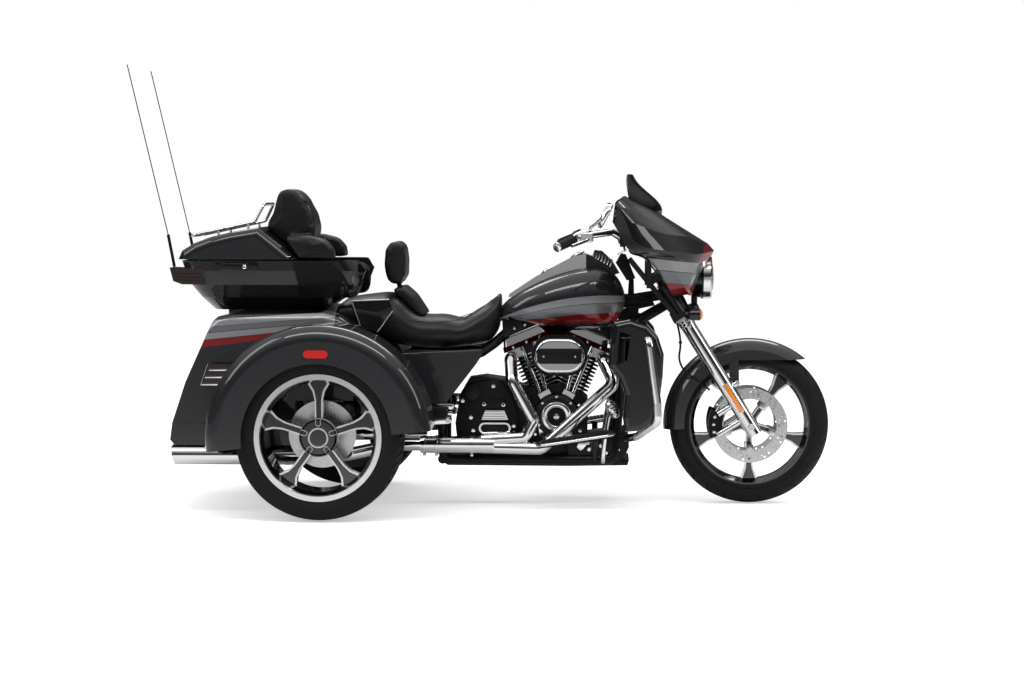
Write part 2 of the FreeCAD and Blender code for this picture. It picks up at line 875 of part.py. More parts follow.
def disc_stack(forward, up, inner, steps, side=-1):
    # Round covers standing out of the engine: each step is (radius, thickness).
    solids = []
    across = inner
    for radius, thick in steps:
        start = Vector(forward, side * across, up)
        solids.append(Part.makeCylinder(radius, thick, start, axis_y * side))
        across += thick
    return fused(solids)


def stadium(forward, up, length, height, inner, thick, side=-1):
    # A plate with round ends, standing out of the engine's side.
    half = (length - height) / 2
    radius = height / 2
    ends = [Part.makeCylinder(radius, thick, Vector(forward + shift, side * inner, up), axis_y * side)
            for shift in (-half, half)]
    middle = block((forward - half, forward + half),
                   sorted((side * inner, side * (inner + thick))), (up - radius, up + radius))
    return fused(ends + [middle])


def engine_covers():
    case = size.caseHalfWidth
    step = size.coverStep
    cam = disc_stack(size.crankForward, size.crankHeight, case,
                     [(size.camCoverRadius * 1.45, step * 1.6), (size.camCoverRadius * 1.12, step * 1.2),
                      (size.camCoverRadius, step * 0.9)])
    gear_mid = size.crankForward - size.gearboxOffset
    gear_up = size.crankHeight - size.camCoverRadius * 0.25
    gear = stadium(gear_mid, gear_up - size.gearCoverHeight * 0.55, size.gearCoverLength,
                   size.gearCoverHeight * 0.75, case, step * 3.6)
    hood = side_plate([(gear_mid - size.gearCoverLength * 0.42, gear_up),
                       (gear_mid + size.gearCoverLength * 0.42, gear_up),
                       (gear_mid + size.gearCoverLength * 0.3, gear_up + size.gearCoverHeight * 0.62),
                       (gear_mid - size.gearCoverLength * 0.3, gear_up + size.gearCoverHeight * 0.62)],
                      -case - step * 3, -case)
    blocks = []
    for sign in (-1, 1):
        turned = block((-size.pushrodRadius * 3, size.pushrodRadius * 3),
                       (-case - step * 1.6, -case - size.seatGap), (0, size.pushrodRadius * 3))
        turned.Placement = lifter_place(sign)
        blocks.append(turned)
    primary = stadium(size.crankForward - size.gearboxOffset / 2, size.crankHeight,
                      size.primaryLength, size.primaryHeight, case, size.primaryDepth, 1)
    derby = disc_stack(size.crankForward - size.gearboxOffset * 0.94, size.crankHeight,
                       case + size.primaryDepth, [(size.primaryHeight * 0.36, step)], 1)
    feature("engine_covers", [cam, gear, hood, fused([primary, derby])] + blocks)


def lifter_place(sign):
    # Where one cylinder's lifter block stands, leaning out of the V.
    foot = Vector(size.crankForward + sign * size.lifterSpan * 0.8, 0, size.crankHeight + size.lifterRise)
    return Placement(foot, Rotation(axis_y, sign * size.pushrodAngle))


def pushrod_tubes():
    solids = []
    radius = size.pushrodRadius
    head_top = size.barrelFoot + size.barrelLength + size.headLength
    for sign in (-1, 1):
        for shift in (-1, 1):
            across = sign * shift * radius * 1.6
            foot = lifter_place(sign).multVec(Vector(across, -size.caseHalfWidth - radius * 1.9,
                                                     radius * 3.3))
            top = cylinder_place(sign).multVec(Vector(across * 2, -size.rockerHalfWidth + radius / 2,
                                                      head_top - radius / 4))
            solids.append(rod(foot, top, radius))
    feature("pushrod_tubes", solids)


def air_cleaner():
    forward = size.crankForward + size.airCleanerShift
    up = size.crankHeight + size.airCleanerRise
    inner = size.airCleanerFace - size.airCleanerDepth
    back = stadium(forward, up, size.airCleanerWidth * 1.1, size.airCleanerHeight * 1.16,
                   inner, size.airCleanerDepth * 0.45)
    cover = stadium(forward, up, size.airCleanerWidth, size.airCleanerHeight,
                    inner + size.airCleanerDepth * 0.45, size.airCleanerDepth * 0.55)
    rim = [edge for edge in cover.Edges
           if abs(edge.CenterOfMass.y + size.airCleanerFace) < size.seatGap]
    cover = cover.makeFillet(size.airCleanerDepth * 0.2, rim)
    port = up + size.airCleanerHeight * 0.3
    stem = rod(Vector(size.crankForward, -inner, port), Vector(size.crankForward, size.overrun, port),
               size.airCleanerHeight * 0.2)
    feature("air_cleaner", [fused([back, clear_of_cylinders(stem)])])
    feature("air_cleaner_cover", [cover])


def exhaust_pipes():
    radius = size.headerRadius
    span = size.pipeSpan
    inside = -size.rockerHalfWidth * 0.6
    port_up = size.crankHeight + size.headerRise
    low = size.exhaustHeight + size.collectorRadius
    rear_x = size.crankForward - size.headerReach * 0.92
    front_x = size.crankForward + size.headerReach * 0.92
    rear = tube([Vector(rear_x, inside, port_up), Vector(rear_x, -span * 0.7, port_up),
                 Vector(rear_x + radius * 0.3, -span, port_up - size.headerReach * 0.4),
                 Vector(size.crankForward - size.headerReach * 0.45, -span, low + radius * 2.6),
                 Vector(size.crankForward - size.headerReach * 0.62, -span, low - radius * 0.2),
                 Vector(size.collectorFront, -span, low - radius * 0.6)], radius, radius * 1.15)
    front = tube([Vector(front_x, inside, port_up), Vector(front_x, -span * 0.7, port_up),
                  Vector(size.crankForward + size.headerReach * 1.15, -span,
                         port_up - size.headerReach * 0.45),
                  Vector(size.crankForward + size.headerReach * 0.1, -span,
                         size.exhaustHeight + radius * 2.2),
                  Vector(size.crankForward - size.headerReach * 0.3, -span,
                         size.exhaustHeight - radius * 0.6),
                  Vector(size.collectorFront, -span, size.exhaustHeight - radius * 0.4)],
                 radius, radius * 1.5)
    collector = rod(Vector(size.collectorFront + radius * 2, -span, size.exhaustHeight),
                    Vector(size.rearTyreRadius + size.collectorRadius, -span, size.exhaustHeight),
                    size.collectorRadius)
    feature("exhaust_pipes", [clear_of_cylinders(fused([rear, front, collector]))])


def mufflers():
    up = size.bodyBottom - size.seatGap - size.mufflerRadius
    start = Vector(size.rearTyreRadius + size.collectorRadius - size.seatGap, -size.pipeSpan,
                   size.exhaustHeight)
    link = tube([start, Vector(start.x - size.collectorRadius * 3, -size.pipeSpan, size.exhaustHeight),
                 Vector(size.mufflerFront + size.mufflerRadius * 4, -size.mufflerSpan, up),
                 Vector(size.mufflerFront - size.mufflerRadius, -size.mufflerSpan, up)],
                size.headerRadius, size.headerRadius * 2)
    can = rod(Vector(size.mufflerRear, -size.mufflerSpan, up),
              Vector(size.mufflerFront, -size.mufflerSpan, up), size.mufflerRadius)
    bore = rod(Vector(size.mufflerRear - size.overrun, -size.mufflerSpan, up),
               Vector(size.mufflerRear + size.mufflerRadius * 3, -size.mufflerSpan, up),
               size.mufflerRadius - size.fenderWall)
    slope = size.mufflerRadius * 0.62
    wedge = side_plate([(size.mufflerRear - size.overrun, up - size.mufflerRadius - size.overrun),
                        (size.mufflerRear + slope, up - size.mufflerRadius - size.overrun),
                        (size.mufflerRear, up + size.mufflerRadius + size.overrun),
                        (size.mufflerRear - size.overrun, up + size.mufflerRadius + size.overrun)],
                       -size.mufflerSpan - size.mufflerRadius - size.overrun,
                       -size.mufflerSpan + size.mufflerRadius + size.overrun)
    solids = both([fused([can, link]).cut(bore).cut(wedge)])
    feature("mufflers", solids)


tank_shares = [(0.004, 0.16, 0.32, 0.36), (0.082, 0.13, 0.49, 0.58), (0.2, 0.1, 0.65, 0.76),
               (0.376, 0.04, 0.82, 0.91), (0.573, 0, 0.95, 1), (0.749, 0, 1, 1),
               (0.886, 0.03, 0.93, 0.91), (0.965, 0.2, 0.76, 0.73), (1, 0.37, 0.57, 0.42)]


def tank_solid(spare):
    wires = []
    for along, bottom, top, wide in tank_shares:
        wires.append(soft_box(size.tankRear + size.tankLength * along, size.tankHalfWidth * wide + spare,
                              size.tankBottom + size.tankHeight * bottom - spare,
                              size.tankBottom + size.tankHeight * top + spare, 2.5))
    return loft(wires)


def fuel_tank():
    solid = tank_solid(0)
    tunnel = block((size.tankRear + size.tankLength * 0.09, size.tankRear + size.tankLength + size.overrun),
                   (-size.tunnelHalfWidth, size.tunnelHalfWidth),
                   (size.tankBottom - size.overrun, size.tankBottom + size.tunnelHeight))
    solid = solid.cut(tunnel).cut(backbone(size.seatGap))
    for room in both([down_tube(size.seatGap)]):
        solid = solid.cut(room)
    feature("fuel_tank", [solid])


console_shares = [(0, 0), (0.01, 0.07), (0.28, 0.45), (0.52, 0.73), (0.71, 0.94), (0.83, 1),
                  (0.91, 0.94), (1, 0.77), (1, 0.4)]


console_block_shares = [(0.86, 0.7), (0.93, 1.08), (1.01, 1.06), (1.12, 0.84), (1.2, 0.56), (1.12, 0.5),
                        (0.95, 0.6)]


def tank_console():
    # The long cover on top of the tank, and the block that closes its front.
    outline = side_points(console_shares, size.consoleRear, size.consoleBase, size.consoleLength,
                          size.consoleHeight)
    solid = side_plate(outline, -size.consoleHalfWidth, size.consoleHalfWidth)
    outline = side_points(console_block_shares, size.consoleRear, size.consoleBase, size.consoleLength,
                          size.consoleHeight)
    block_half = size.consoleHalfWidth * 0.88
    solid = fused([solid, side_plate(outline, -block_half, block_half)]).cut(tank_solid(size.seatGap))
    solids = sorted(solid.Solids, key=lambda one: one.Volume)
    feature("tank_console", [solids[-1]])


seat_shares = [(0.003, 0.6, 0.78, 0.84), (0.02, 0.53, 0.85, 0.96), (0.107, 0.4, 0.93, 1),
               (0.296, 0.13, 0.99, 1), (0.412, 0.04, 0.78, 0.96), (0.513, 0.01, 0.59, 0.91),
               (0.614, 0, 0.59, 0.87), (0.701, 0.02, 0.53, 0.81), (0.788, 0.05, 0.64, 0.73),
               (0.861, 0.09, 0.78, 0.62), (0.912, 0.2, 0.93, 0.51), (0.95, 0.5, 1, 0.42)]


def seat_solid(spare):
    # The seat lies on the body's front end and reaches a little over the tank's rear end.
    rear = size.bodyRear + size.bodyLength - size.seatOverlap
    length = size.tankRear + size.seatTuck - rear
    wires = []
    for along, bottom, top, wide in seat_shares:
        wires.append(soft_box(rear + length * along, size.seatHalfWidth * wide + spare,
                              size.seatBottom + size.seatHeight * bottom - spare,
                              size.seatBottom + size.seatHeight * top + spare, 3))
    return loft(wires)


def seat():
    feature("seat", [seat_solid(0).cut(tank_solid(size.seatGap))])


def inset_points(points, wall):
    # The same closed outline drawn a wall's thickness inside.
    wire = polygon([Vector(x, 0, z) for x, z in points])
    inner = wire.makeOffset2D(-wall, 2)
    if Part.Face(inner).Area > Part.Face(wire).Area:
        inner = wire.makeOffset2D(wall, 2)
    return inner


def plate_from_wire(wire, inner, outer):
    placed = wire.copy()
    placed.translate(Vector(0, inner, 0))
    return Part.Face(placed).extrude(Vector(0, outer - inner, 0))


def round_edges(solid, radius, wanted):
    edges = [edge for edge in solid.Edges if wanted(edge)]
    return solid.makeFillet(radius, edges)


body_shares = [(0.02, 0), (0, 0.04), (0.01, 0.17), (0.07, 0.48), (0.19, 0.94), (0.21, 0.97),
               (0.27, 0.99), (0.67, 1), (0.74, 0.97), (0.83, 0.87), (1, 0.66), (1, 0.38),
               (0.8, 0.34), (0.55, 0.34), (0.53, 0)]
door_bend_share = (0.07, 0.48)


def body_rear(height):
    # Where the body's rear face lies at a height.
    rise = (height - size.bodyBottom) / size.bodyHeight
    faces = body_shares[2:5]
    for (low_x, low), (high_x, high) in zip(faces, faces[1:]):
        if low <= rise <= high:
            share = low_x + (high_x - low_x) * (rise - low) / (high - low)
            return size.bodyRear + size.bodyLength * share
    return size.bodyRear + size.bodyLength * faces[0][0]


def body_plan(spare):
    # The body seen from above: full width over the trunk, drawn in towards the seat.
    rear = size.bodyRear - size.overrun
    shoulder = size.bodyRear + size.bodyLength * 0.8
    front = size.bodyRear + size.bodyLength + size.overrun
    wide = size.bodyHalfWidth - spare
    nose = size.bodyNoseHalfWidth - spare
    corners = [(rear, -wide), (shoulder, -wide), (front, -nose), (front, nose), (shoulder, wide),
               (rear, wide)]
    face = Part.Face(polygon([Vector(x, y, 0) for x, y in corners]))
    return face.extrude(axis_z * (size.bodyBottom + size.bodyHeight + size.overrun))


def along_top(edge, level):
    tangent = edge.tangentAt(edge.FirstParameter)
    middle = edge.CenterOfMass
    return abs(tangent.y) < 0.3 and middle.z > level and abs(middle.y) > size.consoleHalfWidth


def rear_body():
    outline = side_points(body_shares, size.bodyRear, size.bodyBottom, size.bodyLength, size.bodyHeight)
    wide = size.bodyHalfWidth
    solid = side_plate(outline, -wide, wide)
    level = size.bodyBottom + size.bodyHeight * 0.9
    corner = size.fenderCorner / 2
    solid = round_edges(solid, corner, lambda edge: along_top(edge, level))
    solid = solid.common(body_plan(0))
    inner = plate_from_wire(inset_points(outline, size.bodyWall), -wide + size.bodyWall,
                            wide - size.bodyWall)
    inner = round_edges(inner, corner - size.bodyWall, lambda edge: along_top(edge, level))
    inner = inner.common(body_plan(size.bodyWall))
    solid = solid.cut(inner).cut(door_prism(size.doorGap))
    solid = solid.cut(seat_solid(size.seatGap))
    pins = []
    hinge = door_hinge()
    for side in (-1, 1):
        edge = size.doorHalfWidth + size.doorGap
        start = side * (edge + size.overrun)
        end = side * (edge - size.overrun * 1.5)
        pins.append(rod(Vector(hinge.x, start, hinge.z), Vector(hinge.x, end, hinge.z), size.hingePin))
        pins.append(block((hinge.x - size.hingeInset + size.bodyWall / 2, hinge.x + size.hingeInset),
                          sorted((side * edge, start)),
                          (hinge.z - size.hingeInset, hinge.z + size.hingeInset)))
    whole = solid.multiFuse(pins).removeSplitter()
    solids = sorted(whole.Solids, key=lambda one: one.Volume)
    feature("rear_body", [solids[-1]])


def door_hinge():
    height = size.doorSillHeight + size.hingeInset
    return Vector(body_rear(height) + size.hingeInset, 0, height)


def door_prism(spare):
    # The door's slab; with a spare it is the opening that the door sits in.
    low = size.doorSillHeight - spare
    high = size.doorTopHeight + spare
    bend_z = size.bodyBottom + size.bodyHeight * door_bend_share[1]
    out = size.overrun if spare else 0
    nick = size.hingeInset * 0.6 if not spare else 0
    outer = [(body_rear(low + nick) - out, low + nick), (body_rear(bend_z) - out, bend_z),
             (body_rear(high) - out, high)]
    if nick:
        outer.insert(0, (body_rear(low) + nick, low))
    inner = [(x + out + size.doorThick + spare, z) for x, z in outer[::-1]]
    if nick:
        inner[-1] = (body_rear(low) + size.doorThick, low)
    wide = size.doorHalfWidth + spare
    return side_plate(outer + inner, -wide, wide)


def trunk_door():
    hinge = door_hinge()
    solid = door_prism(0)
    for side in (-1, 1):
        start = Vector(hinge.x, side * (size.doorHalfWidth + size.overrun), hinge.z)
        end = Vector(hinge.x, side * (size.doorHalfWidth - size.overrun * 1.5), hinge.z)
        solid = solid.cut(rod(start, end, size.hingePin + size.runningGap))
    feature("trunk_door", [solid])


def plate_holder():
    # A bare plate, upright on a holder that is wedge shaped to suit the door's lower panel.
    height = size.plateHeight
    low = size.bodyBottom + size.bodyHeight * 0.24
    back = min(body_rear(low), body_rear(low + height)) - size.plateThick - size.seatGap
    plate = block((-size.plateThick, 0), (-size.plateWidth / 2, size.plateWidth / 2), (0, height))
    for across in (-1, 1):
        for rise in (-1, 1):
            place = Vector(-size.overrun, across * size.plateBoltSpan / 2,
                           height / 2 + rise * size.plateBoltRise / 2)
            plate = plate.cut(Part.makeCylinder(size.plateBoltRadius, size.overrun * 2, place, axis_x))
    plate.translate(Vector(back, 0, low))
    half = size.plateWidth * 0.2
    wedge_points = [(back - size.plateThick / 2, low), (body_rear(low) - size.seatGap, low),
                    (body_rear(low + height) - size.seatGap, low + height), (back - size.plateThick / 2,
                                                                             low + height)]
    wedge = side_plate(wedge_points, -half, half)
    feature("plate_holder", [fused([plate, wedge])])


def fender_ring(section, start, sweep, centre_point):
    # Turns a section, drawn as (across, radius), round a wheel's axle from a start angle.
    spun = section.copy()
    spun.rotate(centre, axis_y, -start)
    turned = Part.Face(spun).revolve(centre, axis_y * -1, sweep)
    turned.translate(centre_point)
    return turned


def fenders():
    wide = size.halfWidth
    corner = size.fenderCorner
    wall = size.fenderWall
    inner_y = size.bodyHalfWidth
    rise = size.fenderRadius
    arch = size.fenderArch

    def side(across, inset):
        top = rise - inset
        out = wide - inset
        bend = corner - inset
        slant = math.sqrt(0.5)
        arc = Part.Arc(Vector(top - bend, -out, 0),
                       Vector(top - bend + bend * slant, -out + bend - bend * slant, 0),
                       Vector(top, -out + bend, 0))
        return arc.toShape(), Vector(arch, -out, 0), Vector(top, across, 0)

    outer_arc, outer_low, outer_in = side(-inner_y, 0)
    inner_arc, inner_low, inner_in = side(-inner_y - wall, wall)
    skirt = rise - corner
    edges = [
        Part.LineSegment(outer_low, outer_arc.Vertexes[0].Point).toShape(),
        outer_arc,
        Part.LineSegment(outer_arc.Vertexes[-1].Point, outer_in).toShape(),
        Part.LineSegment(outer_in, Vector(skirt, -inner_y, 0)).toShape(),
        Part.LineSegment(Vector(skirt, -inner_y, 0), Vector(skirt, -inner_y - wall, 0)).toShape(),
        Part.LineSegment(Vector(skirt, -inner_y - wall, 0), inner_in).toShape(),
        Part.LineSegment(inner_in, inner_arc.Vertexes[-1].Point).toShape(),
        inner_arc,
        Part.LineSegment(inner_arc.Vertexes[0].Point, inner_low).toShape(),
        Part.LineSegment(inner_low, outer_low).toShape(),
    ]
    section = Part.Wire(Part.__sortEdges__(edges))
    axle = Vector(0, 0, rear_axle_height)
    ring = fender_ring(section, size.fenderFrontAngle, size.fenderRearAngle - size.fenderFrontAngle, axle)
    feature("rear_fenders", both([ring]))


def marker_solids():
    up = size.rearTyreRadius * 2
    return [stadium(0, up, size.markerLength, size.markerHeight, size.halfWidth + size.seatGap,
                    size.markerDepth)]


def tail_lamp_solids():
    rear = size.bodyRear + size.bodyLength * 0.155
    low = size.bodyBottom + size.bodyHeight * 0.46
    points = [(rear, low), (rear + size.lampLength * 0.6, low), (rear + size.lampLength,
                                                                 low + size.lampRise),
              (rear + size.lampLength * 0.3, low + size.lampRise)]
    solid = side_plate(points, -size.bodyHalfWidth - size.seatGap, -size.bodyHalfWidth - size.lampDepth)
    axle = Vector(0, -size.bodyHalfWidth - size.lampDepth - size.overrun, rear_axle_height)
    wheel_room = Part.makeCylinder(size.fenderRadius + size.seatGap, size.lampDepth * 3, axle, axis_y)
    return [solid.cut(wheel_room)]


side_cover_shares = [(0, 1), (1, 0.99), (0.92, 0.76), (0.52, 0), (0.14, 0), (0, 0.22)]


def side_covers():
    rear = size.bodyRear + size.bodyLength + size.seatGap
    outline = side_points(side_cover_shares, rear, size.coverBottom, size.coverLength, size.coverHeight)
    outer = size.bodyNoseHalfWidth
    solid = side_plate(outline, -outer, -outer + size.coverDepth)
    solid = solid.cut(seat_solid(size.seatGap))
    solids = sorted(solid.Solids, key=lambda one: one.Volume)
    feature("side_covers", both([solids[-1]]))


def pad_between(outline, half_width, corner):
    # A padded form: an outline from the side, softly rounded where it is seen from the front.
    solid = side_plate(outline, -half_width, half_width)
    return round_edges(solid, corner, lambda edge: abs(abs(edge.CenterOfMass.y) - half_width) < size.seatGap)


upper_pad_shares = [(0.12, 0.09), (0, 0.43), (0.06, 0.83), (0.31, 0.98), (0.66, 1), (0.91, 0.89),
                    (1, 0.55), (0.97, 0.18), (0.76, 0), (0.35, 0)]
lower_pad_shares = [(0, 0.92), (0.3, 1), (0.62, 0.72), (1, 0.15), (0.92, 0.02), (0.5, 0), (0.12, 0.3)]


def rider_backrest():
    upper = pad_between(side_points(upper_pad_shares, size.padRear, size.padBottom, size.padDepth,
                                    size.padHeight), size.padHalfWidth, size.padDepth * 0.2)
    lower = pad_between(side_points(lower_pad_shares, size.padRear + size.padDepth * 0.4,
                                    size.padBottom - size.padHeight * 0.82, size.padDepth * 1.6,
                                    size.padHeight * 0.78), size.padHalfWidth * 1.05, size.padDepth * 0.2)
    post = block((size.padRear + size.padDepth * 0.5, size.padRear + size.padDepth * 0.66),
                 (-size.overrun, size.overrun), (size.padBottom - size.padHeight * 0.5,
                                                 size.padBottom + size.overrun))
    whole = fused([upper, lower, post]).cut(seat_solid(size.seatGap))
    solids = sorted(whole.Solids, key=lambda one: one.Volume)
    feature("rider_backrest", [solids[-1]])


def plan_loop(rear, front, half_width, corner, height):
    loop = rectangle_loop((front - rear) / 2, half_width, corner, height)
    loop.translate(Vector((front + rear) / 2, 0, 0))
    return loop


# Each level of the luggage box: height share, rear reach share, front reach share, width share.
luggage_shares = [(0, 0.17, 0.78, 0.66), (0.26, 0.11, 0.88, 0.86), (0.52, 0.06, 0.97, 0.97),
                  (0.8, 0.03, 1, 1), (1, 0.01, 0.96, 1)]


def luggage_solid(spare, floor):
    loops = []
    height = size.luggageRim - size.luggageBottom
    for rise, rear, front, wide in luggage_shares:
        level = size.luggageBottom + height * rise
        if rise == 0:
            level = level + floor
        loops.append(plan_loop(size.luggageRear + size.luggageLength * rear + spare,
                               size.luggageRear + size.luggageLength * front - spare,
                               size.luggageHalfWidth * wide - spare, size.luggageCorner - spare, level))
    return loft(loops, True)


def luggage_box():
    solid = luggage_solid(0, 0)
    front = size.luggageRear + size.luggageLength
    recess = block((front - size.podLength, front + size.overrun), (-size.podInner, size.podInner),
                   (size.luggageBottom + size.luggageWall * 8, size.luggageRim + size.overrun))
    wall = size.luggageWall
    solid = solid.cut(recess)
    inner = luggage_solid(wall, wall)
    keep_out = block((front - size.podLength - wall, front + size.overrun),
                     (-size.luggageHalfWidth, size.luggageHalfWidth),
                     (size.luggageBottom, size.luggageRim + size.overrun))
    inner = inner.cut(keep_out)
    cap = block((size.luggageRear + size.luggageCorner, front - size.podLength - size.luggageCorner),
                (-size.luggageHalfWidth + size.luggageCorner, size.luggageHalfWidth - size.luggageCorner),
                (size.luggageRim - wall, size.luggageRim + size.overrun))
    solid = solid.cut(inner).cut(cap)
    foot = block((size.luggageRear + size.luggageLength * 0.25,
                  size.luggageRear + size.luggageLength * 0.72),
                 (-size.podInner, size.podInner),
                 (size.bodyBottom + size.bodyHeight - size.overrun, size.luggageBottom + size.seatGap))
    body_top = side_plate(side_points(body_shares, size.bodyRear, size.bodyBottom + size.seatGap,
                                      size.bodyLength,
                                      size.bodyHeight), -size.bodyHalfWidth, size.bodyHalfWidth)
    solid = fused([solid, foot.cut(body_top)])
    for side in (-1, 1):
        mouth = Vector(front - size.podLength * 0.55, side * (size.podInner + size.luggageHalfWidth) / 2,
                       size.luggageRim - size.podSpeaker * 1.25)
        solid = solid.cut(Part.makeCylinder(size.podSpeaker, size.podLength, mouth, axis_x))
    pins = []
    hinge = lid_hinge()
    for forward in lid_hinge_places():
        ear_end = forward + size.hingePin * 2
        pins.append(rod(Vector(forward, hinge.y, hinge.z), Vector(forward + size.overrun * 2, hinge.y,
                                                                  hinge.z),
                        size.hingePin))
        pins.append(block((forward, ear_end), (size.luggageHalfWidth, hinge.y + size.hingeInset),
                          (hinge.z - size.hingeInset * 3, hinge.z + size.hingeInset / 2)))
    whole = fused([solid] + pins).cut(seat_solid(size.seatGap))
    solids = sorted(whole.Solids, key=lambda one: one.Volume)
    feature("luggage_box", [solids[-1]])


def lid_hinge():
    return Vector(0, size.luggageHalfWidth + size.hingeInset, size.luggageRim + size.lidGap / 2)


def lid_hinge_places():
    return [size.luggageRear + size.lidLength * share for share in (0.22, 0.78)]


def lid_knuckles():
    # The lid's half of its hinge: a knuckle round each pin, and a tab up to the lid's side.
    hinge = lid_hinge()
    solids = []
    for forward in lid_hinge_places():
        start = forward + size.hingePin * 2 + size.runningGap
        end = forward + size.overrun * 2
        knuckle = rod(Vector(start, hinge.y, hinge.z), Vector(end, hinge.y, hinge.z),
                      size.hingeInset - size.runningGap)
        tab = block((start, end), (size.luggageHalfWidth - size.luggageWall / 2, hinge.y),
                    (size.luggageRim + size.lidGap, hinge.z + size.hingeInset * 2))
        bore = rod(Vector(forward, hinge.y, hinge.z), Vector(end + size.overrun, hinge.y, hinge.z),
                   size.hingePin + size.runningGap)
        solids.append(knuckle.fuse(tab).cut(bore))
    return solids


lid_shares = [(0, 0), (0.03, 0.27), (0.13, 0.5), (0.27, 0.7), (0.45, 0.86), (0.67, 1), (1, 0)]


def luggage_lid():
    base = size.luggageRim + size.lidGap
    outline = side_points(lid_shares, size.luggageRear, base, size.lidLength, size.lidHeight)
    wide = size.luggageHalfWidth
    solid = side_plate(outline, -wide, wide)

    def top_side(edge):
        tangent = edge.tangentAt(edge.FirstParameter)
        return abs(tangent.y) < 0.3 and edge.CenterOfMass.z > base + size.lidGap

    corner = size.luggageCorner * 0.5
    solid = round_edges(solid, corner, top_side)
    wall = size.luggageWall
    inside = [(x, z) for x, z in side_points(lid_shares, size.luggageRear, base, size.lidLength,
                                             size.lidHeight)]
    inner = plate_from_wire(inset_points(inside, wall), -wide + corner, wide - corner)
    well = inner.cut(block((size.luggageRear - size.overrun,
                            size.luggageRear + size.lidLength + size.overrun),
                           (-wide - size.overrun, wide + size.overrun), (0, base + wall * 2)))
    mouth = block((size.luggageRear + wall * 4, size.luggageRear + size.lidLength - wall * 6),
                  (-wide + wall, wide - wall), (base - size.overrun, base + wall * 3))
    solid = solid.cut(well).cut(mouth)
    solids = sorted(solid.Solids, key=lambda one: one.Volume)
    feature("luggage_lid", [fused([solids[-1]] + lid_knuckles())])


centre_pad_shares = [(0, 0.43), (0.14, 0.63), (0.28, 0.96), (0.45, 1), (0.61, 0.98), (0.78, 0.85),
                     (0.94, 0.63), (1, 0.45), (0.97, 0.14), (0.85, 0), (0.76, 0)]
arm_pad_shares = [(0, 0.9), (0.47, 1), (0.81, 0.82), (0.97, 0.47), (1, 0), (0.3, 0)]


def passenger_backrest():
    base = size.luggageRim + size.lidGap
    rear = size.luggageRear + size.lidLength * 0.68
    outline = side_points(centre_pad_shares, rear, base, size.backDepth, size.backHeight)
    middle = side_plate(outline, -size.backHalfWidth, size.backHalfWidth)
    arm_rear = rear + size.backDepth * 0.5
    arm = side_plate(side_points(arm_pad_shares, arm_rear, base, size.armLength, size.armHeight),
                     -size.luggageHalfWidth, -size.armInner)
    bridge = side_plate(side_points(centre_pad_shares[8:] + [(0.55, 0.2), (0.5, 0.33), (0.9, 0.33)], rear,
                                    base,
                                    size.backDepth, size.backHeight),
                        -size.luggageHalfWidth + size.overrun, size.luggageHalfWidth - size.overrun)
    whole = fused([middle, bridge] + both([arm])).cut(lid_room())
    solids = sorted(whole.Solids, key=lambda one: one.Volume)
    feature("passenger_backrest", [solids[-1]])


def lid_room():
    # The lid's side outline with a small gap, so that what seats on it touches nothing.
    base = size.luggageRim + size.lidGap
    outline = side_points(lid_shares, size.luggageRear, base, size.lidLength, size.lidHeight)
    wire = polygon([Vector(x, 0, z) for x, z in outline])
    wide = size.luggageHalfWidth + size.overrun
    grown = wire.makeOffset2D(size.seatGap, 2)
    if Part.Face(grown).Area < Part.Face(wire).Area:
        grown = wire.makeOffset2D(-size.seatGap, 2)
    return plate_from_wire(grown, -wide, wide)


def luggage_rack():
    base = size.luggageRim + size.lidGap
    rail = size.rackRadius
    rear = size.luggageRear
    low = base + size.lidHeight * 0.72
    high = base + size.lidHeight * 1.16
    span = size.rackSpan
    front_x = rear + size.lidLength * 0.68
    back_x = rear + size.lidLength * 0.07
    points = [Vector(front_x, 0, high + size.rackRise), Vector(front_x, -span * 0.9, high + size.rackRise),
              Vector(front_x - size.rackRise * 0.5, -span, high), Vector(back_x, -span, low),
              Vector(back_x, 0, low)]
    half = tube(points, rail, rail * 3)
    posts = []
    for share in (0.3, 0.55):
        x = rear + size.lidLength * share
        level = low + (high - low) * (x - back_x) / (front_x - size.rackRise * 0.5 - back_x)
        posts.append(rod(Vector(x, -span, base + size.lidHeight * 0.4), Vector(x, -span, level), rail * 0.8))
    bars = []
    for index in range(1, 5):
        x = back_x + (front_x - size.rackRise * 0.5 - back_x) * index / 5
        level = low + (high - low) * index / 5
        bars.append(rod(Vector(x, -span, level), Vector(x, 0, level), rail * 0.7))
    side = fused([half] + posts + bars)
    whole = fused([side, mirrored(side)]).cut(lid_room())
    solids = sorted(whole.Solids, key=lambda one: one.Volume)
    feature("luggage_rack", [solids[-1]])


case_lamp_shares = [(0, 1), (1, 0.94), (0.94, 0.4), (0.98, 0), (0.35, 0), (0.1, 0.2)]


def case_lamp_solids():
    low = size.luggageRim - size.caseLampHeight * 1.4
    outline = side_points(case_lamp_shares, size.luggageRear - size.caseLampHeight * 0.44, low,
                          size.caseLampLength, size.caseLampHeight)
    solid = side_plate(outline, -size.luggageHalfWidth - size.caseLampDepth, -size.luggageHalfWidth * 0.62)
    solid = solid.cut(luggage_solid(-size.seatGap, 0))
    solids = sorted(solid.Solids, key=lambda one: one.Volume)
    return [solids[-1]]


def rear_lamps():
    feature("rear_lamps", both(marker_solids() + tail_lamp_solids() + case_lamp_solids()))


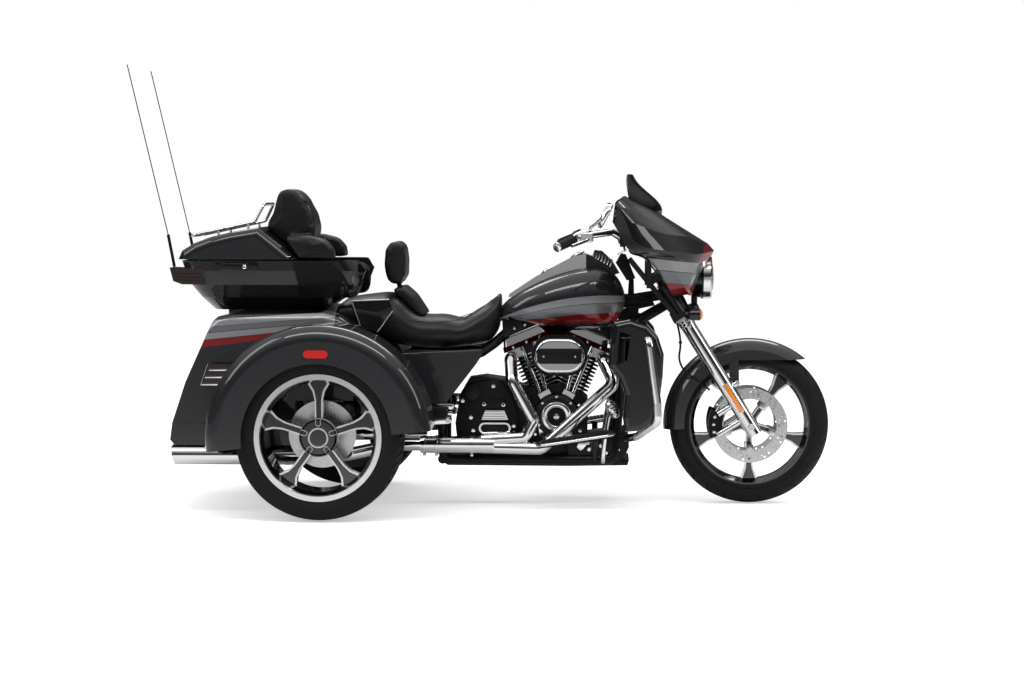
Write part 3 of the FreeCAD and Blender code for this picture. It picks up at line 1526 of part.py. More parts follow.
def antennas():
    low = size.luggageRim - size.caseLampHeight * 0.4 + size.antennaRadius
    foot = Vector(size.luggageRear - size.caseLampHeight * 0.3, -size.antennaSpan, low)
    collar = Vector(foot.x - size.antennaLean * 0.15, -size.antennaSpan,
                    low + (size.antennaTip - low) * 0.16)
    tip = Vector(size.antennaRadius - size.rearReach, -size.antennaSpan, size.antennaTip)
    mast = fused([rod(foot, collar, size.antennaRadius * 3), rod(collar, tip, size.antennaRadius)])
    feature("antennas", both([mast]))


def leg_point(reach, side=-1):
    # A point on a fork leg's centre line, counted up from the front axle.
    return front_axle + fork_up * reach + axis_y * (side * size.forkHalfSpan)


def clamp_plate(height, reach_back, reach_front, spare=0):
    # A fork clamp square to the steering axis, centred on it at a height.
    half = size.clampThick / 2 + spare
    wide = size.forkHalfSpan + size.forkSliderRadius
    plate = block((-reach_back, reach_front), (-wide, wide), (-half, half))
    uprights = [edge for edge in plate.Edges if abs(edge.tangentAt(edge.FirstParameter).z) > 0.9]
    plate = plate.makeFillet(min(reach_back, reach_front) * 0.6, uprights)
    plate.rotate(centre, axis_y, -size.rakeAngle)
    plate.translate(steering_point(height))
    return plate


def head_top():
    return size.headTubeHeight + size.headTubeLength * math.cos(rake)


def low_clamp(spare=0):
    height = size.headTubeHeight - (size.clampThick / 2 + size.seatGap) * math.cos(rake)
    return clamp_plate(height, size.forkSliderRadius * 1.5, size.forkSliderRadius * 2.4, spare)


def high_clamp(spare=0):
    height = head_top() + (size.clampThick / 2 + size.seatGap) * math.cos(rake)
    return clamp_plate(height, size.forkSliderRadius * 2.4, size.forkSliderRadius, spare)


def fork():
    gap = size.clampThick / 2 + size.seatGap
    stem = rod(steering_point(size.headTubeHeight) - steer_up * gap,
               steering_point(head_top()) + steer_up * gap,
               size.stemRadius)
    reach = size.forkHalfSpan + size.forkSliderRadius
    axle = rod(front_axle - axis_y * reach, front_axle + axis_y * reach, size.frontAxleRadius)
    solids = [stem, axle, low_clamp(), high_clamp()] + brackets()
    collar = size.forkSliderRadius * 1.05
    for side in (-1, 1):
        solids.append(rod(leg_point(size.forkSliderLength * 0.9, side), leg_point(size.forkTubeTop, side),
                          size.forkTubeRadius))
        solids.append(rod(leg_point(size.forkSliderLength, side),
                          leg_point(size.forkSliderLength + size.clampThick, side), collar))
        solids.append(rod(leg_point(-size.forkSliderRadius * 1.2, side), leg_point(size.forkSliderLength,
                                                                                   side),
                          size.forkSliderRadius))
        inner = side * (size.frontRotorPlane + size.caliperHalf)
        outer = side * size.forkHalfSpan
        for angle in caliper_lug_angles:
            spot = caliper_point(angle, size.frontRotorRadius * 0.92)
            spot.y = (inner + outer) / 2
            leg = leg_point((spot - front_axle).dot(fork_up), side)
            leg.y = spot.y
            solids.append(rod(spot, leg, abs(outer - inner) / 2))
        stay = fender_stay_point()
        stay_end = Vector(stay.x, side * (size.frontFenderHalfWidth + size.bracketThick + size.seatGap),
                          stay.z)
        stay_in_leg = Vector(stay.x, outer, stay.z)
        solids.append(rod(stay_end, stay_in_leg, size.rotorBossRadius))
        leg = leg_point((stay - front_axle).dot(fork_up), side)
        solids.append(rod(stay_in_leg, leg, size.rotorBossRadius))
    feature("fork", [fused(solids)])


caliper_lug_angles = (160, 196)


def caliper_point(angle, radius):
    turn = math.radians(angle)
    return front_axle + Vector(radius * math.cos(turn), 0, radius * math.sin(turn))


def fender_stay_point():
    return front_axle + Vector(-size.frontRotorRadius * 0.38, 0, size.frontRotorRadius * 1.15)


def bracket_top():
    return Vector(size.fairingRear + size.bracketWidth * 3.4, 0,
                  size.fairingBottom + size.fairingHeight * 0.36)


def bracket_foot():
    low = steering_point(size.headTubeHeight - size.clampThick)
    return Vector(low.x - size.bracketWidth, 0, low.z - size.bracketWidth * 0.4)


def brackets():
    # Flat bars that carry the fairing from the lower clamp.
    low = steering_point(size.headTubeHeight - size.clampThick)
    solids = []
    for side in (-1, 1):
        across = side * (size.forkHalfSpan + size.forkSliderRadius)
        start = bracket_foot()
        start.y = across
        end = bracket_top()
        end.y = across
        along = end - start
        bar = block((-size.bracketWidth / 2, size.bracketWidth / 2),
                    sorted((0, side * size.bracketThick)), (0, along.Length))
        bar.Placement = Placement(start, Rotation(axis_z, along))
        foot = rod(Vector(low.x - size.bracketWidth * 0.9, across, low.z),
                   Vector(low.x - size.bracketWidth * 0.9, side * size.forkHalfSpan, low.z),
                   size.bracketWidth * 0.45)
        solids += [bar, foot]
    return solids


def front_fender():
    half = size.frontFenderHalfWidth
    wall = size.frontFenderWall
    crown = size.frontFenderRadius
    edge = size.frontFenderEdge
    shoulder = crown - half * 0.55

    def arch_edges(inset):
        side = half - inset
        arc = Part.Arc(Vector(shoulder, -side, 0), Vector(crown - inset, 0, 0), Vector(shoulder, side, 0))
        return [Part.LineSegment(Vector(edge, -side, 0), Vector(shoulder, -side, 0)).toShape(),
                arc.toShape(),
                Part.LineSegment(Vector(shoulder, side, 0), Vector(edge, side, 0)).toShape()]

    section = Part.Wire(Part.__sortEdges__(
        arch_edges(0) + arch_edges(wall)
        + [Part.LineSegment(Vector(edge, -half, 0), Vector(edge, -half + wall, 0)).toShape(),
           Part.LineSegment(Vector(edge, half, 0), Vector(edge, half - wall, 0)).toShape()]))
    ring = fender_ring(section, size.frontFenderTip, size.frontFenderTail - size.frontFenderTip, front_axle)
    cut_x = size.wheelBase - crown * 0.16
    low = size.frontTyreRadius + crown * 0.76
    ring = ring.cut(block((cut_x, cut_x + crown * 2), (-half - size.overrun, half + size.overrun), (0, low)))
    stay = fender_stay_point()
    arms = []
    for side in (-1, 1):
        arms.append(side_plate([(cut_x - size.bracketWidth * 1.6, low - size.bracketWidth),
                                (cut_x + size.bracketWidth * 0.4, low + size.bracketWidth * 0.6),
                                (stay.x + size.bracketWidth * 0.6, stay.z - size.bracketWidth * 0.4),
                                (stay.x - size.bracketWidth * 0.6, stay.z - size.bracketWidth * 0.4)],
                               side * half, side * (half + size.bracketThick)))
    feature("front_fender", [fused([ring] + arms)])


fairing_shares = [
    (0, [(0.11, 1), (0.48, 0.81), (0.94, 0.52), (1, 0.45), (0.91, 0.28), (0.79, 0), (0.52, 0), (0.25, 0.41),
         (0.07, 0.71)]),
    (0.34, [(0.11, 1), (0.44, 0.83), (0.86, 0.54), (0.92, 0.44), (0.84, 0.29), (0.75, 0.02), (0.57, 0),
            (0.32, 0.38), (0.07, 0.71)]),
    (0.57, [(0.1, 0.99), (0.33, 0.86), (0.7, 0.6), (0.79, 0.43), (0.75, 0.32), (0.68, 0.11), (0.54, 0.08),
            (0.34, 0.39), (0.06, 0.68)]),
    (0.78, [(0.08, 0.97), (0.23, 0.85), (0.5, 0.63), (0.62, 0.46), (0.6, 0.41), (0.49, 0.38), (0.37, 0.37),
            (0.22, 0.42), (0.05, 0.66)]),
    (0.94, [(0.04, 0.94), (0.12, 0.88), (0.26, 0.71), (0.37, 0.49), (0.35, 0.46), (0.28, 0.45),
            (0.21, 0.45), (0.14, 0.47), (0.01, 0.71)]),
    (1, [(0.03, 0.88), (0.07, 0.84), (0.12, 0.73), (0.17, 0.6), (0.16, 0.57), (0.14, 0.56), (0.11, 0.55),
         (0.08, 0.58), (0.02, 0.71)]),
]


def fairing_solid(wall, open_back):
    loops = []
    stations = [(-share, outline) for share, outline in reversed(fairing_shares[1:])] + fairing_shares
    for share, outline in stations:
        across = (size.fairingHalfWidth - wall) * share
        points = side_points(outline, size.fairingRear, size.fairingBottom, size.fairingLength,
                             size.fairingHeight)
        mid_x = sum(x for x, z in points) / len(points)
        mid_z = sum(z for x, z in points) / len(points)
        corners = []
        for index, (x, z) in enumerate(points):
            pull = Vector(mid_x - x, 0, mid_z - z)
            if pull.Length:
                pull.normalize()
            corner = Vector(x, across, z) + pull * wall * 1.3
            if open_back and index in (0, 7, 8):
                corner.x = corner.x - size.overrun
            corners.append(corner)
        loops.append(polygon(corners))
    return loft(loops)


def fairing():
    outer = fairing_solid(0, False)
    inner = fairing_solid(size.fairingWall, True)
    lamp = Part.makeCylinder(size.lampRadius + size.fairingWall, size.fairingLength,
                             Vector(size.lampFace - size.fairingLength * 0.5, 0, size.lampHeight), axis_x)
    shell = outer.cut(inner).cut(lamp).cut(clamp_room())
    seat = bracket_top() * 0.63 + bracket_foot() * 0.37
    tabs = []
    for side in (-1, 1):
        across = size.forkHalfSpan + size.forkSliderRadius + size.bracketThick + size.seatGap
        tabs.append(block((seat.x - size.bracketWidth / 2, seat.x + size.bracketWidth / 2),
                          sorted((side * across, side * (across + size.bracketThick))),
                          (seat.z - size.bracketWidth, seat.z + size.fairingHeight * 0.725)))
    shell = fused([shell] + tabs)
    for side in (-1, 1):
        shell = shell.cut(half_bar(side, size.barRadius + size.caliperGap))
    solids = sorted(shell.Solids, key=lambda one: one.Volume)
    feature("fairing", [solids[-1]])


def clamp_room():
    # The slot under the fairing where the clamps, the legs and the fork's bars come through.
    half = size.forkHalfSpan + size.forkSliderRadius + size.bracketThick + size.overrun / 2
    return block((size.fairingRear - size.overrun, size.fairingRear + size.fairingLength * 0.74),
                 (-half, half), (0, size.fairingBottom + size.fairingHeight * 0.5))


def inner_fairing():
    # The dash closes the fairing's back and carries the gauge pods.
    slab = block((size.fairingRear + size.dashInset, size.fairingRear + size.dashInset + size.dashThick),
                 (-size.fairingHalfWidth, size.fairingHalfWidth),
                 (size.fairingBottom, size.fairingBottom + size.fairingHeight + size.overrun))
    dash = slab.common(fairing_solid(size.fairingWall + size.seatGap, True)).cut(clamp_room())
    solids = [dash]
    face = size.fairingRear + size.dashInset
    level = size.fairingBottom + size.fairingHeight * 0.74
    for share, radius in ((-0.36, size.gaugeRadius), (-0.12, size.gaugeRadius), (0.12, size.gaugeRadius),
                          (0.36, size.gaugeRadius)):
        solids.append(Part.makeCylinder(radius, size.dashThick * 2 + size.overrun,
                                        Vector(face - size.overrun, share * size.fairingHalfWidth, level),
                                        axis_x))
    for side in (-1, 1):
        solids.append(Part.makeCylinder(size.gaugeRadius * 1.5, size.dashThick * 2,
                                        Vector(face - size.dashThick, side * size.fairingHalfWidth * 0.68,
                                               level - size.gaugeRadius), axis_x))
    whole = fused(solids)
    for side in (-1, 1):
        whole = whole.cut(half_bar(side, size.barRadius + size.caliperGap))
    ordered = sorted(whole.Solids, key=lambda one: one.Volume)
    feature("inner_fairing", [ordered[-1]])


# Each level of the screen: height share, centre reach share, side reach share, width share.
screen_shares = [(-0.9, 1.35, 0.3, 1.06), (0, 1, 0.16, 1), (0.45, 0.6, 0.1, 0.88), (0.8, 0.38, 0.08, 0.68),
                 (1, 0.28, 0.1, 0.4)]


def windscreen():
    loops = []
    base = size.fairingBottom + size.fairingHeight + size.seatGap
    back = size.screenRear
    for rise, ahead, side_ahead, wide in screen_shares:
        level = base + (size.screenTip - base) * rise
        front = back + size.screenReach * ahead
        edge = back + size.screenReach * side_ahead
        half = size.screenHalfWidth * wide
        thick = size.screenThick
        outer = Part.Arc(Vector(edge, -half, level), Vector(front, 0, level),
                         Vector(edge, half, level)).toShape()
        inner = Part.Arc(Vector(edge, half - thick, level), Vector(front - thick, 0, level),
                         Vector(edge, -half + thick, level)).toShape()
        joins = [Part.LineSegment(Vector(edge, half, level), Vector(edge, half - thick, level)).toShape(),
                 Part.LineSegment(Vector(edge, -half + thick, level), Vector(edge, -half, level)).toShape()]
        loops.append(Part.Wire([outer, joins[0], inner, joins[1]]))
    blade = loft(loops).cut(fairing_solid(-size.seatGap, False))
    solids = sorted(blade.Solids, key=lambda one: one.BoundBox.ZMax)
    feature("windscreen", [solids[-1]])


def headlamp():
    radius = size.lampRadius
    face = size.lampFace
    profile = [(face, radius * 0.9), (face - radius * 0.08, radius), (face - radius * 0.45, radius),
               (face - radius * 0.47, radius * 0.95), (face - radius * 0.9, radius * 0.86),
               (face - radius * 1.25, radius * 0.55), (face - radius * 1.4, radius * 0.2),
               (face - radius * 1.4, 0),
               (face - radius * 0.2, 0), (face - radius * 0.2, radius * 0.84), (face, radius * 0.86)]
    outline = Part.Face(polygon([Vector(x, 0, z) for x, z in profile]))
    shell = outline.revolve(centre, axis_x, 360)
    shell.translate(axis_z * size.lampHeight)
    lens_profile = [(face - radius * 0.2 + size.seatGap, 0), (face - radius * 0.2 + size.seatGap,
                                                              radius * 0.82),
                    (face - radius * 0.02, radius * 0.82), (face + radius * 0.06, radius * 0.5),
                    (face + radius * 0.1, 0)]
    lens = Part.Face(polygon([Vector(x, 0, z) for x, z in lens_profile])).revolve(centre, axis_x, 360)
    lens.translate(axis_z * size.lampHeight)
    stem_x = face - radius * 0.78
    stem = rod(Vector(stem_x, 0, size.lampHeight - radius * 0.6), Vector(stem_x, 0, size.headTubeHeight),
               radius * 0.14)
    ordered = sorted(stem.cut(low_clamp(size.seatGap)).Solids, key=lambda one: one.Volume)
    feature("headlamp", [fused([shell, ordered[-1]])])
    feature("headlamp_lens", [lens])


def turn_signals():
    # A bullet lamp on a short stalk at each end of the lower clamp.
    solids = []
    length = size.signalLength
    radius = size.signalRadius
    bullet = [(0, 0), (0, radius * 0.4), (length * 0.12, radius * 0.8), (length * 0.4, radius),
              (length, radius),
              (length, 0)]
    clamp_end = size.forkHalfSpan + size.forkSliderRadius + size.seatGap
    stalk_x = size.signalRear + length * 0.3
    for side in (-1, 1):
        form = Part.Face(polygon([Vector(x, 0, z) for x, z in bullet])).revolve(centre, axis_x, 360)
        form.translate(Vector(size.signalRear, side * size.signalSpan, size.signalHeight))
        stalk = rod(Vector(stalk_x, side * clamp_end, size.signalHeight),
                    Vector(stalk_x, side * size.signalSpan, size.signalHeight), radius * 0.4)
        solids.append(fused([form, stalk]))
    feature("turn_signals", solids)


def grip_ends(side):
    inner = Vector(size.gripInnerForward, side * size.gripInnerSpan, size.gripInnerHeight)
    outer = Vector(size.gripInnerForward - size.gripSweep, side * (size.gripInnerSpan + size.gripSpread),
                   size.gripInnerHeight - size.gripDrop)
    return inner, outer


def bar_middle_point():
    top = steering_point(head_top() + size.clampThick)
    return Vector(top.x - size.riserReach, 0, top.z + size.riserRise)


def half_bar(side, radius):
    inner, outer = grip_ends(side)
    middle = bar_middle_point()
    points = [middle, Vector(middle.x, side * size.forkHalfSpan * 0.9, middle.z),
              Vector(inner.x + size.riserReach * 2.2, side * size.gripInnerSpan * 0.72,
                     inner.z + size.gripDrop * 0.4), inner, outer]
    return tube(points, radius, size.barRadius * 2.2)


def handlebar():
    middle = bar_middle_point()
    foot = steering_point(head_top())
    solids = [half_bar(side, size.barRadius) for side in (-1, 1)]
    for side in (-1, 1):
        across = side * size.forkHalfSpan * 0.3
        solids.append(rod(Vector(foot.x, across, foot.z), Vector(middle.x, across, middle.z),
                          size.gripRadius))
    whole = fused(solids).cut(high_clamp(size.seatGap))
    ordered = sorted(whole.Solids, key=lambda one: one.Volume)
    feature("handlebar", [ordered[-1]])


def hand_controls():
    grips = []
    levers = []
    radius = size.gripRadius
    for side in (-1, 1):
        inner, outer = grip_ends(side)
        along = (outer - inner).normalize()
        room = half_bar(side, size.barRadius + size.seatGap)
        split = inner + along * radius * 2.4
        grips.append(rod(split, outer - along * size.seatGap, radius).cut(room))
        switch = rod(inner + along * radius * 0.35, split - along * size.seatGap, radius * 1.35)
        reservoir = reservoir_block(side, 0)
        reservoir = reservoir.makeFillet(radius * 0.3, reservoir.Edges)
        pivot = inner + along * radius + axis_x * radius * 2.9 + axis_z * radius * 0.1
        lever = tube([pivot, pivot + along * size.gripLength * 0.4 + axis_x * radius * 0.6,
                      pivot + along * size.gripLength * 1.1], radius * 0.36, radius * 2)
        whole = fused([switch, reservoir, lever]).cut(room)
        ordered = sorted(whole.Solids, key=lambda one: one.Volume)
        levers.append(ordered[-1])
    feature("grips", grips)
    feature("hand_controls", levers)


def reservoir_block(side, spare):
    # The master cylinder's box in front of the bar, beside the grip.
    inner, outer = grip_ends(side)
    along = (outer - inner).normalize()
    radius = size.gripRadius
    box = block((-spare, radius * 3 + spare), (-radius * 1.5 - spare, radius * 1.5 + spare),
                (-radius * 0.9 - spare, radius * 1.3 + spare))
    box.translate(inner + along * radius * 1.3 + axis_x * radius * 0.6)
    return box


mirror_shares = [(-0.5, 0.1), (-0.42, 0.42), (0, 0.5), (0.38, 0.36), (0.5, 0), (0.36, -0.34), (0, -0.42),
                 (-0.4, -0.3)]


def mirrors():
    solids = []
    for side in (-1, 1):
        inner, outer = grip_ends(side)
        head = Vector(inner.x + size.mirrorForward, side * (size.gripInnerSpan + size.gripSpread),
                      inner.z + size.mirrorRise)
        loops = []
        for depth, scale in ((0, 0.94), (0.5, 1), (1, 0.6)):
            points = [Vector(size.mirrorThick * depth, -side * across * size.mirrorWidth * scale,
                             rise * size.mirrorHeight * scale) for across, rise in mirror_shares]
            loops.append(smooth_loop(points))
        shell = loft(loops)
        shell.rotate(centre, axis_y, size.mirrorLean)
        shell.translate(head)
        stem = tube([inner + axis_x * size.gripRadius * 2, inner + axis_x * size.gripRadius * 2.2
                     + axis_z * size.mirrorRise * 0.4, head + axis_x * size.mirrorThick * 0.4],
                    size.gripRadius * 0.32, size.gripRadius)
        solids.append(fused([shell, stem]).cut(reservoir_block(side, size.seatGap)))
    cleaned = [sorted(solid.Solids, key=lambda one: one.Volume)[-1] for solid in solids]
    feature("mirrors", cleaned)


# Where the calipers sit around the discs, in degrees.
caliper_from, caliper_sweep = 158, 40


def front_brakes():
    solids = []
    for side in (-1, 1):
        plane = side * size.frontRotorPlane
        inner = plane - side * size.caliperHalf
        outer = plane + side * (size.caliperHalf - size.runningGap)
        low = size.frontRotorRadius - size.frontRotorBand + size.caliperGap
        high = size.frontRotorRadius * 1.12
        section = Part.Wire(Part.makePolygon([Vector(low, inner, 0), Vector(high, inner, 0),
                                              Vector(high, outer, 0),
                                              Vector(low, outer, 0), Vector(low, inner, 0)]))
        ring = fender_ring(section, caliper_from, caliper_sweep, front_axle)
        slot_half = size.frontRotorThick / 2 + size.caliperGap
        slot = Part.makeCylinder(size.frontRotorRadius + size.caliperGap, slot_half * 2,
                                 Vector(front_axle.x, plane - slot_half, front_axle.z), axis_y)
        solids.append(ring.cut(slot))
    room = nodes["fork"].Shape.translated(Vector(-frame_shift, 0, 0))
    feature("front_brakes", [solid.cut(room) for solid in solids])


lower_shares = [(0.1, 0.97), (0.39, 1), (0.7, 0.95), (0.9, 0.84), (1, 0.69), (0.98, 0.49), (0.93, 0.29),
                (0.84, 0.1),
                (0.6, 0.01), (0.3, 0), (0.26, 0.13), (0.3, 0.33), (0.2, 0.47), (0, 0.59), (0.03, 0.78)]


def guard_tube(radius):
    low = size.railHeight
    rail = size.railHalfSpan
    span = size.lowerOuter + size.guardRadius * 0.3
    down_x = size.wheelBase * 0.69
    points = [Vector(down_x, -rail, low + size.railRadius * 4.4),
              Vector(down_x + size.railRadius * 3.2, -span * 0.7, low + size.guardRadius * 7),
              Vector(down_x + size.railRadius * 7.3, -span, low + size.guardRadius * 11.5),
              Vector(down_x + size.railRadius * 7.2, -span, low + size.guardRadius * 16),
              Vector(down_x + size.railRadius * 5.4, -span, size.lowerBottom + size.lowerHeight * 0.84),
              Vector(down_x, -rail / 2, size.tankBottom - size.railRadius)]
    return tube(points, radius, size.guardRadius * 2.2)


def engine_guard():
    guard = guard_tube(size.guardRadius)
    feature("engine_guard", both([seated_on_frame(guard)]))


def seated_on_frame(solid):
    # Trims a right-hand piece where it meets the cradle tube and keeps its main solid.
    return sorted(solid.cut(down_tube(size.seatGap)).Solids, key=lambda one: one.Volume)[-1]


def lower_fairings():
    outline = side_points(lower_shares, size.lowerRear, size.lowerBottom, size.lowerLength, size.lowerHeight)
    solid = side_plate(outline, -size.lowerInner, -size.lowerOuter)

    def outer_rim(edge):
        return edge.BoundBox.YMax < -size.lowerOuter + size.lowerWall * 1.5

    solid = round_edges(solid, size.lowerCorner, outer_rim)
    inner = plate_from_wire(inset_points(outline, size.lowerWall), -size.lowerInner + size.overrun,
                            -size.lowerOuter + size.lowerWall)
    inner = inner.makeChamfer(size.lowerCorner * 0.6, [edge for edge in inner.Edges if outer_rim(edge)])
    vent = side_plate(side_points([(0.14, 0.6), (0.34, 0.64), (0.4, 0.86), (0.2, 0.9)], size.lowerRear,
                                  size.lowerBottom, size.lowerLength, size.lowerHeight),
                      -size.lowerOuter - size.overrun, -size.lowerInner)
    solid = solid.cut(guard_tube(size.guardRadius + size.seatGap)).cut(inner).cut(vent)
    solids = sorted(solid.Solids, key=lambda one: one.Volume)
    feature("lower_fairings", both([solids[-1]]))


def footboards():
    inner = size.boardInner
    outer = size.boardInner + size.boardWidth
    board = block((0, size.boardLength), (-outer, -inner), (-size.boardThick, 0))
    uprights = [edge for edge in board.Edges if abs(edge.tangentAt(edge.FirstParameter).z) > 0.9]
    board = board.makeFillet(size.boardWidth * 0.3, uprights)
    board.rotate(centre, axis_y, -size.boardTilt)
    board.translate(Vector(size.boardRear, 0, size.boardHeight))
    arm_x = size.boardRear + size.boardLength * 0.75
    arm = rod(Vector(arm_x, -size.railHalfSpan, size.railHeight),
              Vector(arm_x, -inner - size.boardWidth * 0.3, size.boardHeight + size.boardThick),
              size.barRadius)
    peg_arm = rod(Vector(size.uprightForward, -size.railHalfSpan, size.pegHeight),
                  Vector(size.wheelBase * 0.25, -inner, size.pegHeight + size.pegRadius),
                  size.pegRadius * 0.7)
    peg = stadium(size.wheelBase * 0.25, size.pegHeight + size.pegRadius, size.pegLength,
                  size.pegRadius * 2.4,
                  inner, size.pegLength * 0.6)
    feature("footboards", both([seated_on_frame(fused([board, arm])),
                                seated_on_frame(fused([peg_arm, peg]))]))


def foot_controls():
    # The brake pedal on the right and the gear lever on the left, each on its own pivot at the rail.
    x = size.boardRear + size.boardLength * 0.86
    span = size.boardInner - size.barRadius
    pivot_z = size.railHeight
    top = size.boardHeight + size.pedalRise
    radius = size.barRadius
    levers = []
    for reach, rise in ((size.pedalReach, top), (size.pedalReach * 0.9, top - size.pedalRise * 0.2)):
        lever = tube([Vector(x, -size.railHalfSpan, pivot_z), Vector(x, -span, pivot_z),
                      Vector(x + reach, -span, rise)], radius * 0.85, radius * 1.4)
        levers.append(seated_on_frame(lever))
    pad_x = x + size.pedalReach
    pad = block((pad_x - radius * 2, pad_x + radius * 2), (-span - size.pedalPad, -span + radius),
                (top - radius, top + radius))
    peg = rod(Vector(x + size.pedalReach * 0.9, -span, top - size.pedalRise * 0.2),
              Vector(x + size.pedalReach * 0.9, -span - size.pedalPad, top - size.pedalRise * 0.2), radius)
    feature("foot_controls", [fused([levers[0], pad]), mirrored(fused([levers[1], peg]))])


def main():
    front_tyre()
    front_rim()
    front_rotors()
    rear_wheel("right", -1)
    rear_wheel("left", 1)
    rear_axle()
    frame()
    engine_cases()
    cylinders()
    rocker_covers()
    engine_covers()
    pushrod_tubes()
    air_cleaner()
    exhaust_pipes()
    mufflers()
    fuel_tank()
    tank_console()
    seat()
    rear_body()
    trunk_door()
    plate_holder()
    fenders()
    side_covers()
    rider_backrest()
    luggage_box()
    luggage_lid()
    passenger_backrest()
    luggage_rack()
    rear_lamps()
    antennas()
    fork()
    front_fender()
    fairing()
    inner_fairing()
    windscreen()
    headlamp()
    turn_signals()
    handlebar()
    hand_controls()
    mirrors()
    front_brakes()
    engine_guard()
    lower_fairings()
    footboards()
    foot_controls()
    finish()


def finish():
    doc.recompute()
    for item in doc.Objects:
        if "Invalid" in item.State or "Error" in item.State:
            raise RuntimeError(f"{item.Label} is not built: {item.State}")
    os.makedirs("parts", exist_ok=True)
    for label, item in nodes.items():
        shape = item.Shape
        if shape.isNull() or not shape.isValid():
            raise RuntimeError(f"{label} has no valid shape")
        shape.exportStep(os.path.join("parts", label + ".step"))
    print(len(nodes), "sub-parts written")


main()
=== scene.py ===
import math

import bmesh
import bpy
from mathutils import Matrix, Vector
from mathutils.bvhtree import BVHTree


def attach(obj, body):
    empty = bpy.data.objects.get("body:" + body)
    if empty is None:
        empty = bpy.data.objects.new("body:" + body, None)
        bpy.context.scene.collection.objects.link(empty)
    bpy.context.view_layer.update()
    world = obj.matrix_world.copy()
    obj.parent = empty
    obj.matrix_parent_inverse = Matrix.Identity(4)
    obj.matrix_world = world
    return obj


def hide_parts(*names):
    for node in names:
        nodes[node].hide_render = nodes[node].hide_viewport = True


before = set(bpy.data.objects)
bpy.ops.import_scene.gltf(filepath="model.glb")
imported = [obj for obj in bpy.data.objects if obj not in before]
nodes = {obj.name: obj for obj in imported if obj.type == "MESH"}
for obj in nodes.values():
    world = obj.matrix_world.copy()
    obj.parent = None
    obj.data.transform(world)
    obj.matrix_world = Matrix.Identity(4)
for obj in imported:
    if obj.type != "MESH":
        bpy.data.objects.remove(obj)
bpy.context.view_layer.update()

scene = bpy.context.scene
axleShift = 0.59715  # X below is counted from the rear axle, this far behind the frame's zero
weldReach = 1e-5  # points nearer than this many metres become one

print("camera, floor and light")


def toLinear(hexText):
    # a colour written as in a paint chart, turned to the linear values that the shaders use
    tones = []
    for start in (1, 3, 5):
        share = int(hexText[start:start + 2], 16) / 255
        tones.append(share / 12.92 if share <= 0.04045 else ((share + 0.055) / 1.055) ** 2.4)
    return (*tones, 1.0)


def addNode(tree, kind, settings=(), inputs=()):
    # one node, with its own settings, and for each input a value or another node's socket
    node = tree.nodes.new("ShaderNode" + kind)
    for name, value in dict(settings).items():
        setattr(node, name, value)
    for name, value in dict(inputs).items():
        if isinstance(value, bpy.types.NodeSocket):
            tree.links.new(value, node.inputs[name])
        else:
            node.inputs[name].default_value = value
    return node


def reckon(tree, operation, *values):
    # one sum on numbers and sockets
    return addNode(tree, "Math", {"operation": operation}, dict(enumerate(values))).outputs[0]


def folded(tree, operation, values):
    result = values[0]
    for value in values[1:]:
        result = reckon(tree, operation, result, value)
    return result


def ranged(tree, value, low, high, start=0.0, end=1.0):
    # what runs from start to end, laid over low to high
    return addNode(tree, "MapRange", {}, {"Value": value, "From Min": start, "From Max": end, "To Min": low,
                                          "To Max": high}).outputs[0]


def addObject(name, data, place=None, towards=None):
    made = bpy.data.objects.new(name, data)
    scene.collection.objects.link(made)
    if place is not None:
        made.location = place
    if towards is not None:
        made.rotation_mode = "QUATERNION"
        made.rotation_quaternion = towards.to_track_quat("-Z", "Y")
    return made


cameraSet = {"azimuth": 2.091, "elevation": 3.786, "distance": 9.0326, "lens": 78.473,
             "aim": (0.713 - axleShift, 0.0, 0.6486)}


def makeCamera(settings):
    turn, rise = math.radians(settings["azimuth"]), math.radians(settings["elevation"])
    back = Vector((math.sin(turn) * math.cos(rise), -math.cos(turn) * math.cos(rise), math.sin(rise)))
    data = bpy.data.cameras.new("photoCamera")
    data.sensor_width = 36
    data.lens = settings["lens"]
    data.clip_end = 200
    place = Vector(settings["aim"]) + back * settings["distance"]
    scene.camera = addObject("photoCamera", data, place, -back)


makeCamera(cameraSet)

stageSet = {"floor": "#f4f4f4", "floorSize": 60, "world": 0.62, "farFloor": "#b4b4b4", "fade": (1.6, 4.2),
            "aim": (0.15, 0, 0.6), "ends": (0.62, 1.0),
            "walls": ((0.012, 0.05), (0.26, 0.03), (0.46, 0.25), (0.62, 0.6)),
            "lamps": [((0.2, -3.4, 5.4), (6.5, 1.0), 150), ((-3.8, -2.2, 3.4), (1.2, 3.2), 50),
                      ((4.8, -1.8, 3.0), (1.2, 3.0), 50), ((0.3, 4.2, 5.0), (6.0, 1.4), 120)]}


